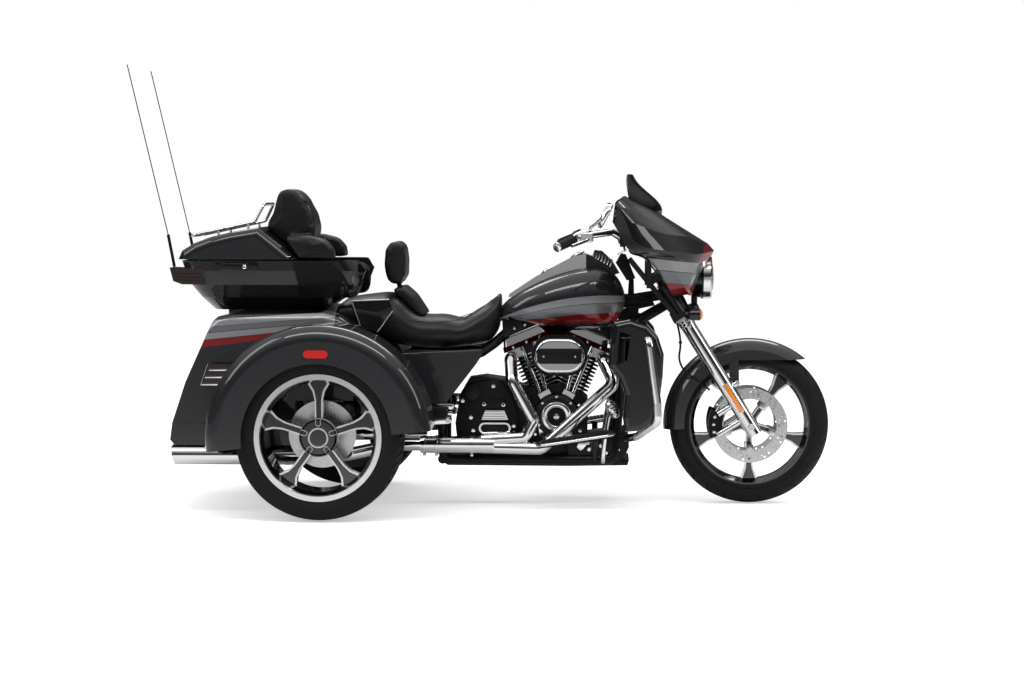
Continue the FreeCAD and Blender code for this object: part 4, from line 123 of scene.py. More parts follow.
def makeStage(settings):
    mesh = bpy.data.meshes.new("floor")
    shape = bmesh.new()
    bmesh.ops.create_grid(shape, x_segments=1, y_segments=1, size=settings["floorSize"])
    shape.to_mesh(mesh)
    shape.free()
    material = bpy.data.materials.new("paintedStudioFloor")  # matt white paint: a soft shadow and no gloss
    material.use_nodes = True
    tree = material.node_tree
    tree.nodes.clear()
    white = toLinear(settings["floor"])
    matt = addNode(tree, "BsdfDiffuse", inputs={"Color": white})
    lit = addNode(tree, "Emission", inputs={"Color": white, "Strength": 0.5})
    both = addNode(tree, "AddShader", inputs={0: matt.outputs[0], 1: lit.outputs[0]})
    # past the lit sweep the studio is darker, which upright faces mirror; the camera sees white all the way
    place = addNode(tree, "TexCoord").outputs["Object"]
    reach = addNode(tree, "VectorMath", {"operation": "LENGTH"}, {0: place}).outputs["Value"]
    unlit = addNode(tree, "BsdfDiffuse", inputs={"Color": toLinear(settings["farFloor"])})
    seen = addNode(tree, "MixShader", inputs={"Fac": ranged(tree, reach, 0, 1, *settings["fade"]),
                                              1: matt.outputs[0], 2: unlit.outputs[0]})
    rays = addNode(tree, "LightPath").outputs
    mixed = addNode(tree, "MixShader", inputs={"Fac": rays["Is Camera Ray"], 1: seen.outputs[0],
                                               2: both.outputs[0]})
    addNode(tree, "OutputMaterial", inputs={"Surface": mixed.outputs[0]})
    mesh.materials.append(material)
    addObject("floor", mesh, (0, 0, -0.001))
    for place, size, power in settings["lamps"]:
        data = bpy.data.lights.new("softLamp", "AREA")
        data.shape = "RECTANGLE"
        data.size, data.size_y = size
        data.energy = power
        addObject("softLamp", data, place, Vector(settings["aim"]) - Vector(place))
    scene.world = bpy.data.worlds.new("studioWorld")
    scene.world.use_nodes = True
    tree = scene.world.node_tree
    tree.nodes.clear()
    rays = addNode(tree, "LightPath").outputs
    shown = reckon(tree, "MAXIMUM", rays["Is Camera Ray"], rays["Is Transmission Ray"])
    # what gloss mirrors: dark studio walls above the floor, then the bright ceiling
    place = addNode(tree, "TexCoord").outputs["Generated"]
    height = addNode(tree, "SeparateXYZ", inputs={0: place}).outputs["Z"]
    walls = addNode(tree, "ValToRGB", {}, {"Fac": height})
    ramp = walls.color_ramp.elements
    for at, tone in enumerate(settings["ends"]):
        ramp[at].position, ramp[at].color = at, (tone, tone, tone, 1)
    for at, tone in settings["walls"]:
        ramp.new(at).color = (tone, tone, tone, 1)
    mirrored = addNode(tree, "Mix", {"data_type": "FLOAT"}, {
        0: rays["Is Glossy Ray"], 2: ranged(tree, shown, settings["world"], 1.0), 3: walls.outputs[0]})
    sky = addNode(tree, "Background", {}, {"Color": (1, 1, 1, 1), "Strength": mirrored.outputs[0]})
    addNode(tree, "OutputWorld", {}, {"Surface": sky.outputs[0]})


makeStage(stageSet)
scene.view_settings.view_transform = "Standard"

print("materials")


def newMaterial(name, tone, **sockets):
    # a shader with plain numbers on its own sockets; underscores stand for the blanks in their names
    material = bpy.data.materials.new(name)
    material.use_nodes = True
    tree = material.node_tree
    shader = tree.nodes["Principled BSDF"]
    shader.inputs["Base Color"].default_value = toLinear(tone)
    for key, value in sockets.items():
        shader.inputs[key.replace("_", " ")].default_value = value
    return material, tree, shader


def feed(tree, shader, **sockets):
    for key, value in sockets.items():
        tree.links.new(value, shader.inputs[key.replace("_", " ")])


def surfacePlace(tree, turn=(0, 0, 0)):
    place = addNode(tree, "TexCoord").outputs["Object"]
    return addNode(tree, "Mapping", inputs={"Vector": place, "Rotation": turn}).outputs[0]


def noise(tree, scale, detail, **inputs):
    return addNode(tree, "TexNoise", {}, {"Vector": surfacePlace(tree), "Scale": scale, "Detail": detail,
                                          **inputs}).outputs[0]


def bumpOf(tree, height, reach, strength=1.0):
    return addNode(tree, "Bump", {}, {"Height": height, "Distance": reach, "Strength": strength}).outputs[0]


def grain(tree, shader, sizeMm, roughness, bumpMm=0.0):
    # one noise of a real size that breaks up the gloss and, where asked, the surface
    spots = noise(tree, 1000 / sizeMm, 4.0, Roughness=0.6)
    rough = ranged(tree, spots, *roughness, 0.3, 0.7)
    feed(tree, shader, Roughness=rough)
    if bumpMm:
        feed(tree, shader, Normal=bumpOf(tree, spots, bumpMm / 1000))
    return rough


def mixTone(tree, share, low, high):
    # low and high are each a hex colour or a colour socket
    mixed = addNode(tree, "Mix", {"data_type": "RGBA"}, {"Factor": share})
    for slot, tone in ((6, low), (7, high)):
        if isinstance(tone, str):
            mixed.inputs[slot].default_value = toLinear(tone)
        else:
            tree.links.new(tone, mixed.inputs[slot])
    return mixed.outputs[2]


def mixNumber(tree, share, low, high):
    return addNode(tree, "Mix", {"data_type": "FLOAT"}, {0: share, 2: low, 3: high}).outputs[0]


def axisOf(tree, name):
    place = addNode(tree, "TexCoord").outputs["Object"]
    return addNode(tree, "SeparateXYZ", inputs={0: place}).outputs[name]


def heightOfLine(tree, points):
    # the height, at a surface point's X, of the parabola through three (X, Z) points in mm from the rear axle
    (xa, za), (xb, zb), (xc, zc) = [(x / 1000 - axleShift, z / 1000) for x, z in points]
    first = (zb - za) / (xb - xa)
    second = ((zc - zb) / (xc - xb) - first) / (xc - xa)
    across = reckon(tree, "SUBTRACT", axisOf(tree, "X"), xa)
    further = reckon(tree, "SUBTRACT", axisOf(tree, "X"), xb)
    slope = reckon(tree, "MULTIPLY_ADD", further, second, first)
    return reckon(tree, "MULTIPLY_ADD", slope, across, za)


def areaMask(tree, area):
    # 1 inside an area that is given by lines above and below it and by its rear and front X
    tests = []
    for key, test in (("above", "GREATER_THAN"), ("below", "LESS_THAN")):
        for line in area.get(key, []):
            tests.append(reckon(tree, test, axisOf(tree, "Z"), heightOfLine(tree, line)))
    for key, test in (("from", "GREATER_THAN"), ("to", "LESS_THAN")):
        if key in area:
            tests.append(reckon(tree, test, axisOf(tree, "X"), area[key] / 1000 - axleShift))
    return folded(tree, "MULTIPLY", tests)


def between(low, high, share):
    return [(a[0] + (b[0] - a[0]) * share, a[1] + (b[1] - a[1]) * share) for a, b in zip(low, high)]


def stripeAreas(low, high, shares, **limits):
    # each stripe fills a share of the band between two lines; the black pinline shows between the stripes
    found = [dict(tone="#0b0b0c", above=[low], below=[high], **limits)]
    for name, start, end in shares:
        found.append(dict(tone=stripeTones[name], above=[between(low, high, start)],
                          below=[between(low, high, end)], **limits))
    return found


def metallicBasecoat(name, tone, areas=(), metallic=0.3):
    # sprayed metallic basecoat under clear lacquer: fine flake sparkle and a sharp, mirror-like top gloss
    material, tree, shader = newMaterial(name, tone, Metallic=metallic, Coat_Weight=1.0, Coat_Roughness=0.03,
                                         Coat_IOR=1.5, Specular_IOR_Level=0.04)
    # the flake is 0.05 mm, drawn at 1.2 mm so that it shows at all
    flake = addNode(tree, "TexVoronoi", {}, {"Vector": surfacePlace(tree), "Scale": 1000 / 1.2})
    glint = flake.outputs["Color"]
    colour = tone
    for area in areas:
        colour = mixTone(tree, areaMask(tree, area), colour, area["tone"])
    feed(tree, shader, Roughness=ranged(tree, glint, 0.24, 0.42),
         Base_Color=mixTone(tree, ranged(tree, glint, 0.0, 0.05), colour, "#8d8f94"))
    return material


stripeTones = {"lightGrey": "#88898c", "midGrey": "#68696c", "red": "#7e0806", "charcoal": "#1f2022",
               "black": "#060607"}
fairingShoulder = [(1175, 1188), (1308, 1131), (1472, 1055)]
cheekHigh = [(1241, 1002), (1340, 990), (1441, 978)]
stripeSets = {
    "tank": stripeAreas([(700, 713), (900, 723), (1150, 739)], [(694, 761), (900, 825), (1153, 842)],
                        [("red", 0.0, 0.33), ("midGrey", 0.345, 0.70), ("lightGrey", 0.72, 0.985)]),
    "body": stripeAreas([(-467, 652), (-359, 664), (-234, 682)], [(-440, 756), (-239, 773), (-13, 786)],
                        [("red", 0.0, 0.26), ("lightGrey", 0.275, 0.51), ("midGrey", 0.53, 0.73),
                         ("lightGrey", 0.745, 0.98)], to=40),
    "cheek": stripeAreas([(1241, 850), (1340, 846), (1430, 838)], cheekHigh,
                         [("red", 0.0, 0.335), ("midGrey", 0.35, 0.67), ("lightGrey", 0.69, 0.975)]),
}
charcoal = metallicBasecoat("metallicBasecoatCharcoal", stripeTones["charcoal"])
blackCoat = metallicBasecoat("glossBasecoatBlack", stripeTones["black"], metallic=0.1)
tankPaint = metallicBasecoat("metallicBasecoatTank", stripeTones["charcoal"], stripeSets["tank"])
bodyPaint = metallicBasecoat("metallicBasecoatBody", stripeTones["charcoal"], stripeSets["body"] + [
    {"tone": "#0c0c0d", "above": [[(-620, 352), (-500, 352), (-400, 352)]],
     "below": [[(-620, 356), (-500, 356), (-400, 356)]]}])
fairingPaint = metallicBasecoat("metallicBasecoatFairing", stripeTones["charcoal"], [
    {"tone": stripeTones["black"], "from": 1180, "to": 1475, "below": [fairingShoulder], "above": [cheekHigh]},
    *stripeSets["cheek"],
    {"tone": stripeTones["black"], "below": [[(1252, 1000), (1301, 903), (1333, 841)]], "to": 1346},
    {"tone": stripeTones["red"], "above": [[(1400, 968), (1480, 962), (1540, 958)]],
     "below": [[(1440, 925), (1470, 1005), (1500, 1085)]]}])


def satinAluminium(name, tone, sizeMm=0.8, roughness=(0.28, 0.42)):
    # cast or brushed aluminium, drawn a little coarser than its real 0.2 mm grain
    material, tree, shader = newMaterial(name, tone, Metallic=1.0)
    grain(tree, shader, sizeMm, roughness, 0.004)
    return material


def wrinklePaint(name, tone, sizeMm=1.6, bumpMm=0.12, roughness=(0.38, 0.6)):
    # baked wrinkle or powder coat: small soft hills that scatter the gloss
    material, tree, shader = newMaterial(name, tone, Specular_IOR_Level=0.22)
    grain(tree, shader, sizeMm, roughness, bumpMm)
    return material


def tyreRubber():
    # vulcanised rubber: near black, dull on the tread with a little shine on the moulded wall
    material, tree, shader = newMaterial("vulcanisedTyreRubber", "#101010", Specular_IOR_Level=0.25)
    grain(tree, shader, 3.0, (0.55, 0.82), 0.1)
    dust = ranged(tree, noise(tree, 9.0, 6.0), 0.0, 0.35, 0.45, 0.75)
    feed(tree, shader, Base_Color=mixTone(tree, dust, "#0e0e0e", "#1b1a19"))
    return material


def seatLeather():
    # polished cowhide-look vinyl: fine pebble grain, with painted shade that darkens its valleys
    material, tree, shader = newMaterial("grainedSeatLeather", "#101011", Coat_Weight=0.1, Coat_Roughness=0.3,
                                         Specular_IOR_Level=0.3)
    pebbles = addNode(tree, "TexVoronoi", {"feature": "DISTANCE_TO_EDGE"},
                      {"Vector": surfacePlace(tree), "Scale": 1000 / 2.2})
    soft = ranged(tree, pebbles.outputs[0], 0, 1, 0, 0.35)
    worn = ranged(tree, noise(tree, 14.0, 5.0), 0.38, 0.52, 0.4, 0.7)
    # painted shade: the grain's valleys get a darker base colour
    feed(tree, shader, Roughness=worn, Base_Color=mixTone(tree, soft, "#080809", "#121213"),
         Normal=bumpOf(tree, soft, 0.00025, 0.7))
    return material


def clearLens():
    # moulded acrylic with vertical prisms inside, 7 mm apart, which break the light into soft bands
    material, tree, shader = newMaterial("mouldedAcrylicClear", "#f3f5f6", Roughness=0.03,
                                         Transmission_Weight=0.9, IOR=1.49)
    wave = addNode(tree, "TexWave", {"bands_direction": "Y"},
                   {"Vector": surfacePlace(tree), "Scale": 1000 / 7.0 / 6.28})
    feed(tree, shader, Normal=bumpOf(tree, wave.outputs[0], 0.0006, 0.5))
    return material


def paintedCubeSparkle(tree, low, high):
    # painted sparkle: colour lighter and darker in a grid of 5 mm cube corners behind dyed acrylic, in place of
    # their glints
    cells = addNode(tree, "TexVoronoi", {"distance": "MANHATTAN"},
                    {"Vector": surfacePlace(tree, (0.6, 0.5, 0.78)), "Scale": 200.0, "Randomness": 0.0})
    return ranged(tree, cells.outputs[0], low, high)


def amberLens():
    material, tree, shader = newMaterial("dyedAcrylicAmber", "#c2570a", Roughness=0.12, Coat_Weight=1.0,
                                         Coat_Roughness=0.02)
    # painted sparkle: the amber lightens in a grid of cube corners
    feed(tree, shader, Base_Color=mixTone(tree, paintedCubeSparkle(tree, 0.15, 0.8), "#c2570a", "#ff9a26"))
    return material


def lampTones():
    # dyed acrylic: smoky over the case, bright red at the side markers, black behind the tail lamps' bars
    material, tree, shader = newMaterial("dyedAcrylicByLamp", "#a00508", Roughness=0.1, Coat_Weight=1.0,
                                         Coat_Roughness=0.02)
    # painted sparkle: both tints lighten in a grid of cube corners
    spark = paintedCubeSparkle(tree, 0.1, 0.7)
    bright = mixTone(tree, spark, "#a80205", "#d40a10")
    smoky = mixTone(tree, spark, "#120405", "#2a0a0b")
    ends = reckon(tree, "MAXIMUM", reckon(tree, "GREATER_THAN", axisOf(tree, "Z"), 0.8),
                  reckon(tree, "LESS_THAN", axisOf(tree, "Z"), 0.604))
    feed(tree, shader, Base_Color=mixTone(tree, ends, bright, smoky))
    return material


def twoFinish(name, dark, bright, mask, brightRough=0.06, darkRough=(0.3, 0.45)):
    # painted dark all over, then machined or plated bright where a mask says so
    material, tree, shader = newMaterial(name, dark)
    rough = grain(tree, shader, 1.5, darkRough, 0.03)
    made = areaMask(tree, mask) if isinstance(mask, dict) else mask(tree)
    feed(tree, shader, Base_Color=mixTone(tree, made, dark, bright), Metallic=made,
         Roughness=mixNumber(tree, made, rough, brightRough))
    return material


def radiusFrom(tree, axleX, axleZ):
    # distance in metres from an axle that runs across the machine
    place = addNode(tree, "TexCoord").outputs["Object"]
    axle = (axleX / 1000 - axleShift, 0, axleZ / 1000)
    for operation, value in (("SUBTRACT", axle), ("MULTIPLY", (1, 0, 1))):
        place = addNode(tree, "VectorMath", {"operation": operation}, {0: place, 1: value}).outputs[0]
    return addNode(tree, "VectorMath", {"operation": "LENGTH"}, {0: place}).outputs["Value"]


def inRing(tree, radius, low, high):
    return [reckon(tree, "GREATER_THAN", radius, low / 1000), reckon(tree, "LESS_THAN", radius, high / 1000)]


def outsideRing(tree):
    # all but a ring about the crankshaft on the right-hand covers
    right = reckon(tree, "LESS_THAN", axisOf(tree, "Y"), 0.0)
    inside = folded(tree, "MULTIPLY", [right, *inRing(tree, radiusFrom(tree, 896, 360), 58.5, 92)])
    return reckon(tree, "SUBTRACT", 1.0, inside)


def wheelFinish(name, axleX, axleZ, rings):
    # the outermost faces of the spokes and the rim's lip are machined bright, the pockets stay gloss black
    material, tree, shader = newMaterial(name, "#0a0a0b", Coat_Weight=1.0, Coat_Roughness=0.04)
    deep = reckon(tree, "ABSOLUTE", axisOf(tree, "Y"))
    radius = radiusFrom(tree, axleX, axleZ)
    mask = folded(tree, "MAXIMUM", [
        folded(tree, "MULTIPLY", [*inRing(tree, radius, low, high),
                                  reckon(tree, "GREATER_THAN", deep, out / 1000)])
        for low, high, out in rings])
    # concentric lathe marks, 0.3 mm apart in life and 1.5 mm here
    turned = ranged(tree, reckon(tree, "PINGPONG", radius, 0.00075), 0.24, 0.36, 0, 0.00075)
    feed(tree, shader, Roughness=mixNumber(tree, mask, 0.12, turned), Metallic=mask,
         Base_Color=mixTone(tree, mask, "#0a0a0b", "#ececed"))
    return material


def barrelFinish():
    # black cylinders with bright machined fin edges: the mask is the distance from each barrel's axis
    material, tree, shader = newMaterial("machinedFinCastIron", "#0d0d0e")
    lean = math.radians(22.5)
    half = reckon(tree, "ABSOLUTE", reckon(tree, "SUBTRACT", axisOf(tree, "X"), 0.896 - axleShift))
    level = reckon(tree, "SUBTRACT", axisOf(tree, "Z"), 0.360)
    flat = reckon(tree, "MULTIPLY", half, math.cos(lean))
    aside = reckon(tree, "MULTIPLY_ADD", level, -math.sin(lean), flat)
    place = addNode(tree, "CombineXYZ", inputs={0: aside, 1: axisOf(tree, "Y")}).outputs[0]
    radius = addNode(tree, "VectorMath", {"operation": "LENGTH"}, {0: place}).outputs["Value"]
    edge = ranged(tree, radius, 0, 1, 0.0795, 0.0805)
    feed(tree, shader, Base_Color=mixTone(tree, edge, "#0d0d0e", "#cfd0d1"), Metallic=edge,
         Roughness=ranged(tree, edge, 0.5, 0.2))
    return material


# electroplated chrome over steel: a mirror with a faint cloudy haze where it was polished
chrome, tree, shader = newMaterial("platedChrome", "#e6e7e8", Metallic=1.0, Roughness=0.06)
grain(tree, shader, 60, (0.03, 0.10))
castAluminium = satinAluminium("castAluminiumSatin", "#b9babb")
discSteel = satinAluminium("groundDiscSteel", "#d4d5d6", 2.5, (0.22, 0.34))
anodisedRed = satinAluminium("anodisedRed", "#4a0c0d", 0.8, (0.25, 0.35))
blackPowder = wrinklePaint("powderCoatBlack", "#0a0a0b", 0.9, 0.03, (0.28, 0.44))
blackWrinkle = wrinklePaint("wrinklePaintBlack", "#0d0d0e")
mouldedAbs = wrinklePaint("mouldedAbsBlack", "#0e0e0f", 1.2, 0.05, (0.42, 0.58))
gripRubber = wrinklePaint("mouldedGripRubber", "#1a1a1b", 2.0, 0.08, (0.6, 0.8))
tyre, leather, clear, amber = tyreRubber(), seatLeather(), clearLens(), amberLens()
# a deep grey tint in clear plastic: almost black where it stands edge on
smoked = newMaterial("smokedPolycarbonate", "#0b0b0c", Roughness=0.04, Transmission_Weight=0.4, IOR=1.45)[0]
luggagePaint = metallicBasecoat("metallicBasecoatCase", "#17181a", [
    {"tone": stripeTones["black"], "below": [[(-560, 843), (-200, 848), (100, 850)]]},
    {"tone": stripeTones["black"], "from": -122}])
frontWheelFinish = wheelFinish("machinedAlloyFront", 1670, 319.3, [(232, 262, 60), (36, 221, 17)])
rearWheelFinish = wheelFinish("machinedAlloyRear", 0, 322, [(219, 250, 620), (70, 207.5, 592)])
forkFinish = twoFinish("plateAndPowderFork", "#0c0c0d", "#e2e3e4",
                       {"below": [[(1180, 620), (1330, 713), (1480, 806)]], "from": 1350}, 0.08)
coverFinish = twoFinish("chromeWithBlackRing", "#0a0a0b", "#e6e7e8", outsideRing)
consoleFinish = twoFinish("chromeConsoleBlackFront", "#0a0a0b", "#e6e7e8", {"to": 1012})
bucketFinish = twoFinish("chromeRingBlackBucket", "#08080a", "#e6e7e8", {"from": 1482}, 0.06, (0.1, 0.14))

print("finishes of the frame's own parts")
finishes = (
    (tankPaint, "fuel_tank"), (bodyPaint, "rear_body"), (fairingPaint, "fairing"),
    (blackCoat, "lower_fairings"),
    (charcoal, "trunk_door front_fender rear_fenders side_covers"), (luggagePaint, "luggage_box luggage_lid"),
    (mouldedAbs, "inner_fairing antennas"), (smoked, "windscreen"), (blackWrinkle, "engine_cases"),
    (blackPowder, "air_cleaner footboards frame front_brakes plate_holder rear_axle"), (gripRubber, "grips"),
    (chrome, "air_cleaner_cover engine_guard exhaust_pipes foot_controls hand_controls handlebar luggage_rack "
             "mirrors mufflers pushrod_tubes rocker_covers"),
    (barrelFinish(), "cylinders"), (coverFinish, "engine_covers"), (forkFinish, "fork"),
    (frontWheelFinish, "front_rim"), (rearWheelFinish, "rear_rim_left rear_rim_right"),
    (bucketFinish, "headlamp"), (clear, "headlamp_lens"), (lampTones(), "rear_lamps"),
    (amber, "turn_signals"),
    (discSteel, "rear_rotor_left rear_rotor_right front_rotors"), (anodisedRed, "rocker_bands"),
    (consoleFinish, "tank_console"), (leather, "seat rider_backrest passenger_backrest"),
    (tyre, "front_tyre rear_tyre_left rear_tyre_right"))
for finish, names in finishes:
    for name in names.split():
        nodes[name].data.materials.clear()
        nodes[name].data.materials.append(finish)

print("shared shape helpers")
rightSide = Vector((0, -1, 0))


def spot(x, y, z):
    # a point in metres from millimetres counted from the rear axle
    return Vector((x / 1000 - axleShift, y / 1000, z / 1000))


def about(angle, axis="Y"):
    return Matrix.Rotation(angle, 4, axis)


def rayAt(angle):
    # a direction in the machine's side view
    return Vector((math.cos(angle), 0, math.sin(angle)))


def ringPairs(x, z, wide, count, shift=0.0, high=None):
    # (X, Z) places on a circle or an upright oval
    angles = [math.tau * (index + shift) / count for index in range(count)]
    return [(x + wide * math.cos(angle), z + (high or wide) * math.sin(angle)) for angle in angles]


def finishPiece(name, shape, material, body="chassis", sharp=38, replaced=(), recalc=True):
    # turns a bmesh into a piece that rides on a body, with soft shading between its sharp edges
    bmesh.ops.remove_doubles(shape, verts=shape.verts, dist=weldReach)
    if recalc:
        bmesh.ops.recalc_face_normals(shape, faces=shape.faces)
    for face in shape.faces:
        face.smooth = True
    for edge in shape.edges:
        edge.smooth = len(edge.link_faces) == 2 and edge.calc_face_angle(0) < math.radians(sharp)
    mesh = bpy.data.meshes.new(name)
    shape.to_mesh(mesh)
    shape.free()
    mesh.materials.append(material)
    piece = addObject(name, mesh)
    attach(piece, body)
    if replaced:
        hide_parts(*replaced)


def facing(place, axis):
    # a matrix whose Z runs along an axis
    return Matrix.Translation(place) @ Vector(axis).to_track_quat("Z", "Y").to_matrix().to_4x4()


def soften(shape, edges, reach, segments=2):
    bmesh.ops.bevel(shape, geom=list(edges), offset=reach, offset_type="OFFSET", segments=segments, profile=0.5,
                    affect="EDGES", material=-1)


def addRod(shape, place, axis, radius, length=None, segments=24, edge=0.0):
    # a round rod that starts at a place, as long as its axis unless a length is given, with its far rim bevelled
    direction = Vector(axis).normalized()
    length = length or Vector(axis).length
    verts = bmesh.ops.create_cone(shape, cap_ends=True, segments=segments, radius1=radius, radius2=radius,
                                  depth=length, matrix=facing(place + direction * length / 2, axis))["verts"]
    if edge:
        reach = max((v.co - place).dot(direction) for v in verts)
        soften(shape, {e for v in verts for e in v.link_edges
                       if all((w.co - place).dot(direction) > reach - 1e-6 for w in e.verts)}, edge)


def addBolt(shape, place, axis, radius, height):
    # a socket-head screw: a round head with a hexagon sunk in it
    direction = Vector(axis).normalized()
    addRod(shape, place, direction, radius, height, 18, radius * 0.18)
    faces = [f for f in shape.faces if f.normal.length > 0.5 and f.normal.dot(direction) > 0.99
             and (f.calc_center_median() - (place + direction * height)).length < radius * 0.2]
    for face in faces:
        bmesh.ops.inset_individual(shape, faces=[face], thickness=radius * 0.32, depth=0)
        bmesh.ops.inset_individual(shape, faces=[face], thickness=radius * 0.02, depth=-height * 0.5)


def addBolts(shape, places, y, radius, height):
    # screws at (X, Z) places on a flank, with their heads outwards
    for x, z in places:
        addBolt(shape, spot(x, y, z), rightSide if y < 0 else -rightSide, radius, height)


def addBlock(shape, place, size, edge=0.0, segments=2, turn=None):
    # a box about a place, with all its edges rounded
    matrix = Matrix.Translation(place) @ (turn or Matrix.Identity(4)) @ Matrix.Diagonal((*size, 1))
    made = bmesh.ops.create_cube(shape, size=1, matrix=matrix)
    if edge:
        soften(shape, {e for v in made["verts"] for e in v.link_edges}, edge, segments)


def addTurned(shape, place, axis, profile, segments=48, closed=False):
    # a turned form from (radius, distance along the axis) pairs in mm
    matrix = facing(place, axis)
    rings = []
    for radius, along in profile:
        count = segments if radius else 1
        rings.append([shape.verts.new(matrix @ Vector((radius / 1000 * math.cos(math.tau * i / count),
                                                       radius / 1000 * math.sin(math.tau * i / count),
                                                       along / 1000))) for i in range(count)])
    for low, high in list(zip(rings, rings[1:])) + ([(rings[-1], rings[0])] if closed else []):
        for i in range(segments):
            corners = (low[i % len(low)], low[(i + 1) % len(low)], high[(i + 1) % len(high)], high[i % len(high)])
            corners = list(dict.fromkeys(corners))
            if len(corners) > 2:
                shape.faces.new(corners)


def addSidePlate(shape, points, inner, outer, edge=0.0, segments=2):
    # a plate whose outline is drawn from the side, in mm, with its outer rim rounded
    low, high = [[shape.verts.new(spot(x, y, z)) for x, z in points] for y in (inner, outer)]
    count = len(points)
    shape.faces.new(low)
    top = shape.faces.new(high)
    for i in range(count):
        shape.faces.new((low[i], low[(i + 1) % count], high[(i + 1) % count], high[i]))
    if edge:
        soften(shape, top.edges, edge / 1000, segments)


def addPlatePair(shape, points, inner, outer, edge=0.0, segments=2):
    for side in (-1, 1):
        addSidePlate(shape, points, side * inner, side * outer, edge, segments)


def roundedPoints(x, z, length, height, radius, steps=6, tilt=0.0):
    found = []
    for alongSign, upSign, start in ((1, 1, 0), (-1, 1, 90), (-1, -1, 180), (1, -1, 270)):
        for step in range(steps + 1):
            angle = math.radians(start + 90 * step / steps)
            found.append((alongSign * (length / 2 - radius) + radius * math.cos(angle),
                          upSign * (height / 2 - radius) + radius * math.sin(angle)))
    turn = math.radians(tilt)
    return [(x + a * math.cos(turn) - b * math.sin(turn), z + a * math.sin(turn) + b * math.cos(turn))
            for a, b in found]


def tubeAlong(name, points, radius, material, body="chassis", cyclic=False, smooth=True):
    # a round tube along a smooth or a straight line, turned into a mesh
    curve = bpy.data.curves.new(name, "CURVE")
    curve.dimensions = "3D"
    curve.bevel_depth = radius
    curve.bevel_resolution = 3
    curve.use_fill_caps = True
    line = curve.splines.new("NURBS" if smooth else "POLY")
    line.points.add(len(points) - 1)
    for target, point in zip(line.points, points):
        target.co = (*point, 1)
    if smooth:
        line.order_u = 3
        line.use_endpoint_u = True
        line.resolution_u = 6
    line.use_cyclic_u = cyclic
    holder = addObject(name + "Line", curve)
    bpy.context.view_layer.update()
    mesh = bpy.data.meshes.new_from_object(holder)
    bpy.data.objects.remove(holder)
    mesh.name = name
    coverMesh(mesh, material)
    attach(addObject(name, mesh), body)


def coverMesh(mesh, material):
    mesh.materials.clear()
    mesh.materials.append(material)
    for face in mesh.polygons:
        face.use_smooth = True


print("tyres with their tread")
rearTyre = {"radius": 322, "width": 215, "bead": 228.6, "lip": 204, "crown": 10, "columns": 18, "steps": 216,
            "skew": 0.05, "beat": 4, "deep": 6.0, "rings": (4, 13)}
tyreSets = {
    "front_tyre": {"body": "front_wheel", "axle": (1670, 0, 319.3), "radius": 319.3, "width": 130, "bead": 241.3,
                   "lip": 146.8, "crown": 26, "columns": 12, "steps": 234, "skew": 0.16, "beat": 9, "deep": 5.0,
                   "rings": ()},
    "rear_tyre_left": {"body": "rear_wheel_left", "axle": (0, 536, 322), **rearTyre},
    "rear_tyre_right": {"body": "rear_wheel_right", "axle": (0, -536, 322), **rearTyre},
}


def makeTyre(name, settings):
    half, radius, bead = settings["width"] / 2, settings["radius"], settings["bead"]
    columns, steps, beat = settings["columns"], settings["steps"], settings["beat"]
    seat = settings["lip"] / 2 - 7
    shoulder = radius - settings["crown"]
    wallHigh = shoulder - bead
    tread = half * 0.9
    section = []
    for column in range(columns + 1):  # over the tread, from one shoulder to the other
        share = -1 + 2 * column / columns
        section.append((tread * share, radius - settings["crown"] * abs(share) ** 2.2))
    section += [(half * wide, shoulder - wallHigh * down)
                for wide, down in ((0.965, 0.12), (1, 0.36), (0.985, 0.6), (0.93, 0.8))]
    section += [(min(seat + 2, half * 0.9), bead + 15), (seat - 1, bead + 13), (seat - 1, bead + 2),
                (seat * 0.6, bead + 2), (seat * 0.2, bead + 2)]
    section += [(-across, up) for across, up in reversed(section[columns + 1:])]
    shape = bmesh.new()
    verts = [shape.verts.new((0, across / 1000, up / 1000)) for across, up in section]
    edges = [shape.edges.new((verts[i], verts[(i + 1) % len(verts)])) for i in range(len(verts))]
    bmesh.ops.spin(shape, geom=verts + edges, cent=(0, 0, 0), axis=(0, 1, 0), angle=math.tau, steps=steps,
                   use_merge=True)
    bmesh.ops.recalc_face_normals(shape, faces=shape.faces)
    grooves = []
    for face in shape.faces:
        centre = face.calc_center_median()
        if math.hypot(centre.x, centre.z) * 1000 < shoulder - 2 or abs(centre.y) * 1000 > tread:
            continue
        column = int((centre.y * 1000 / tread + 1) / 2 * columns)
        step = int(math.atan2(centre.z, centre.x) / math.tau * steps + 0.01 + steps)
        shift = 0 if centre.y > 0 else beat // 2
        lateral = (step + shift) % beat == 0 and abs(column - (columns - 1) / 2) > columns * 0.12
        if column in settings["rings"] or lateral:
            grooves.append(face)
    bmesh.ops.inset_region(shape, faces=grooves, thickness=0.0006, depth=-settings["deep"] / 1000,
                           use_even_offset=True, use_boundary=True)
    for vert in shape.verts:  # the whole pattern sweeps back towards its shoulders
        share = min(1.0, abs(vert.co.y) * 1000 / tread)
        vert.co = Matrix.Rotation(settings["skew"] * share ** 1.4, 3, "Y") @ vert.co
    bmesh.ops.translate(shape, verts=shape.verts, vec=spot(*settings["axle"]))
    finishPiece(name + "Tread", shape, tyre, settings["body"], 32, (name,))


for name, settings in tyreSets.items():
    makeTyre(name, settings)

print("drilled brake discs")
discSet = {"axle": (1670, 319.3), "planes": (-76, 76), "outer": 150, "inner": 106, "thick": 5, "holes": 10,
           "hole": 4.2, "rows": ((116, 0.0), (128, 0.10), (140, 0.2), (122, 0.34), (134, 0.46)),
           "armReach": 0.099, "arm": (0.040, 0.0048, 0.028), "boltShift": (0.007, 0.0025)}


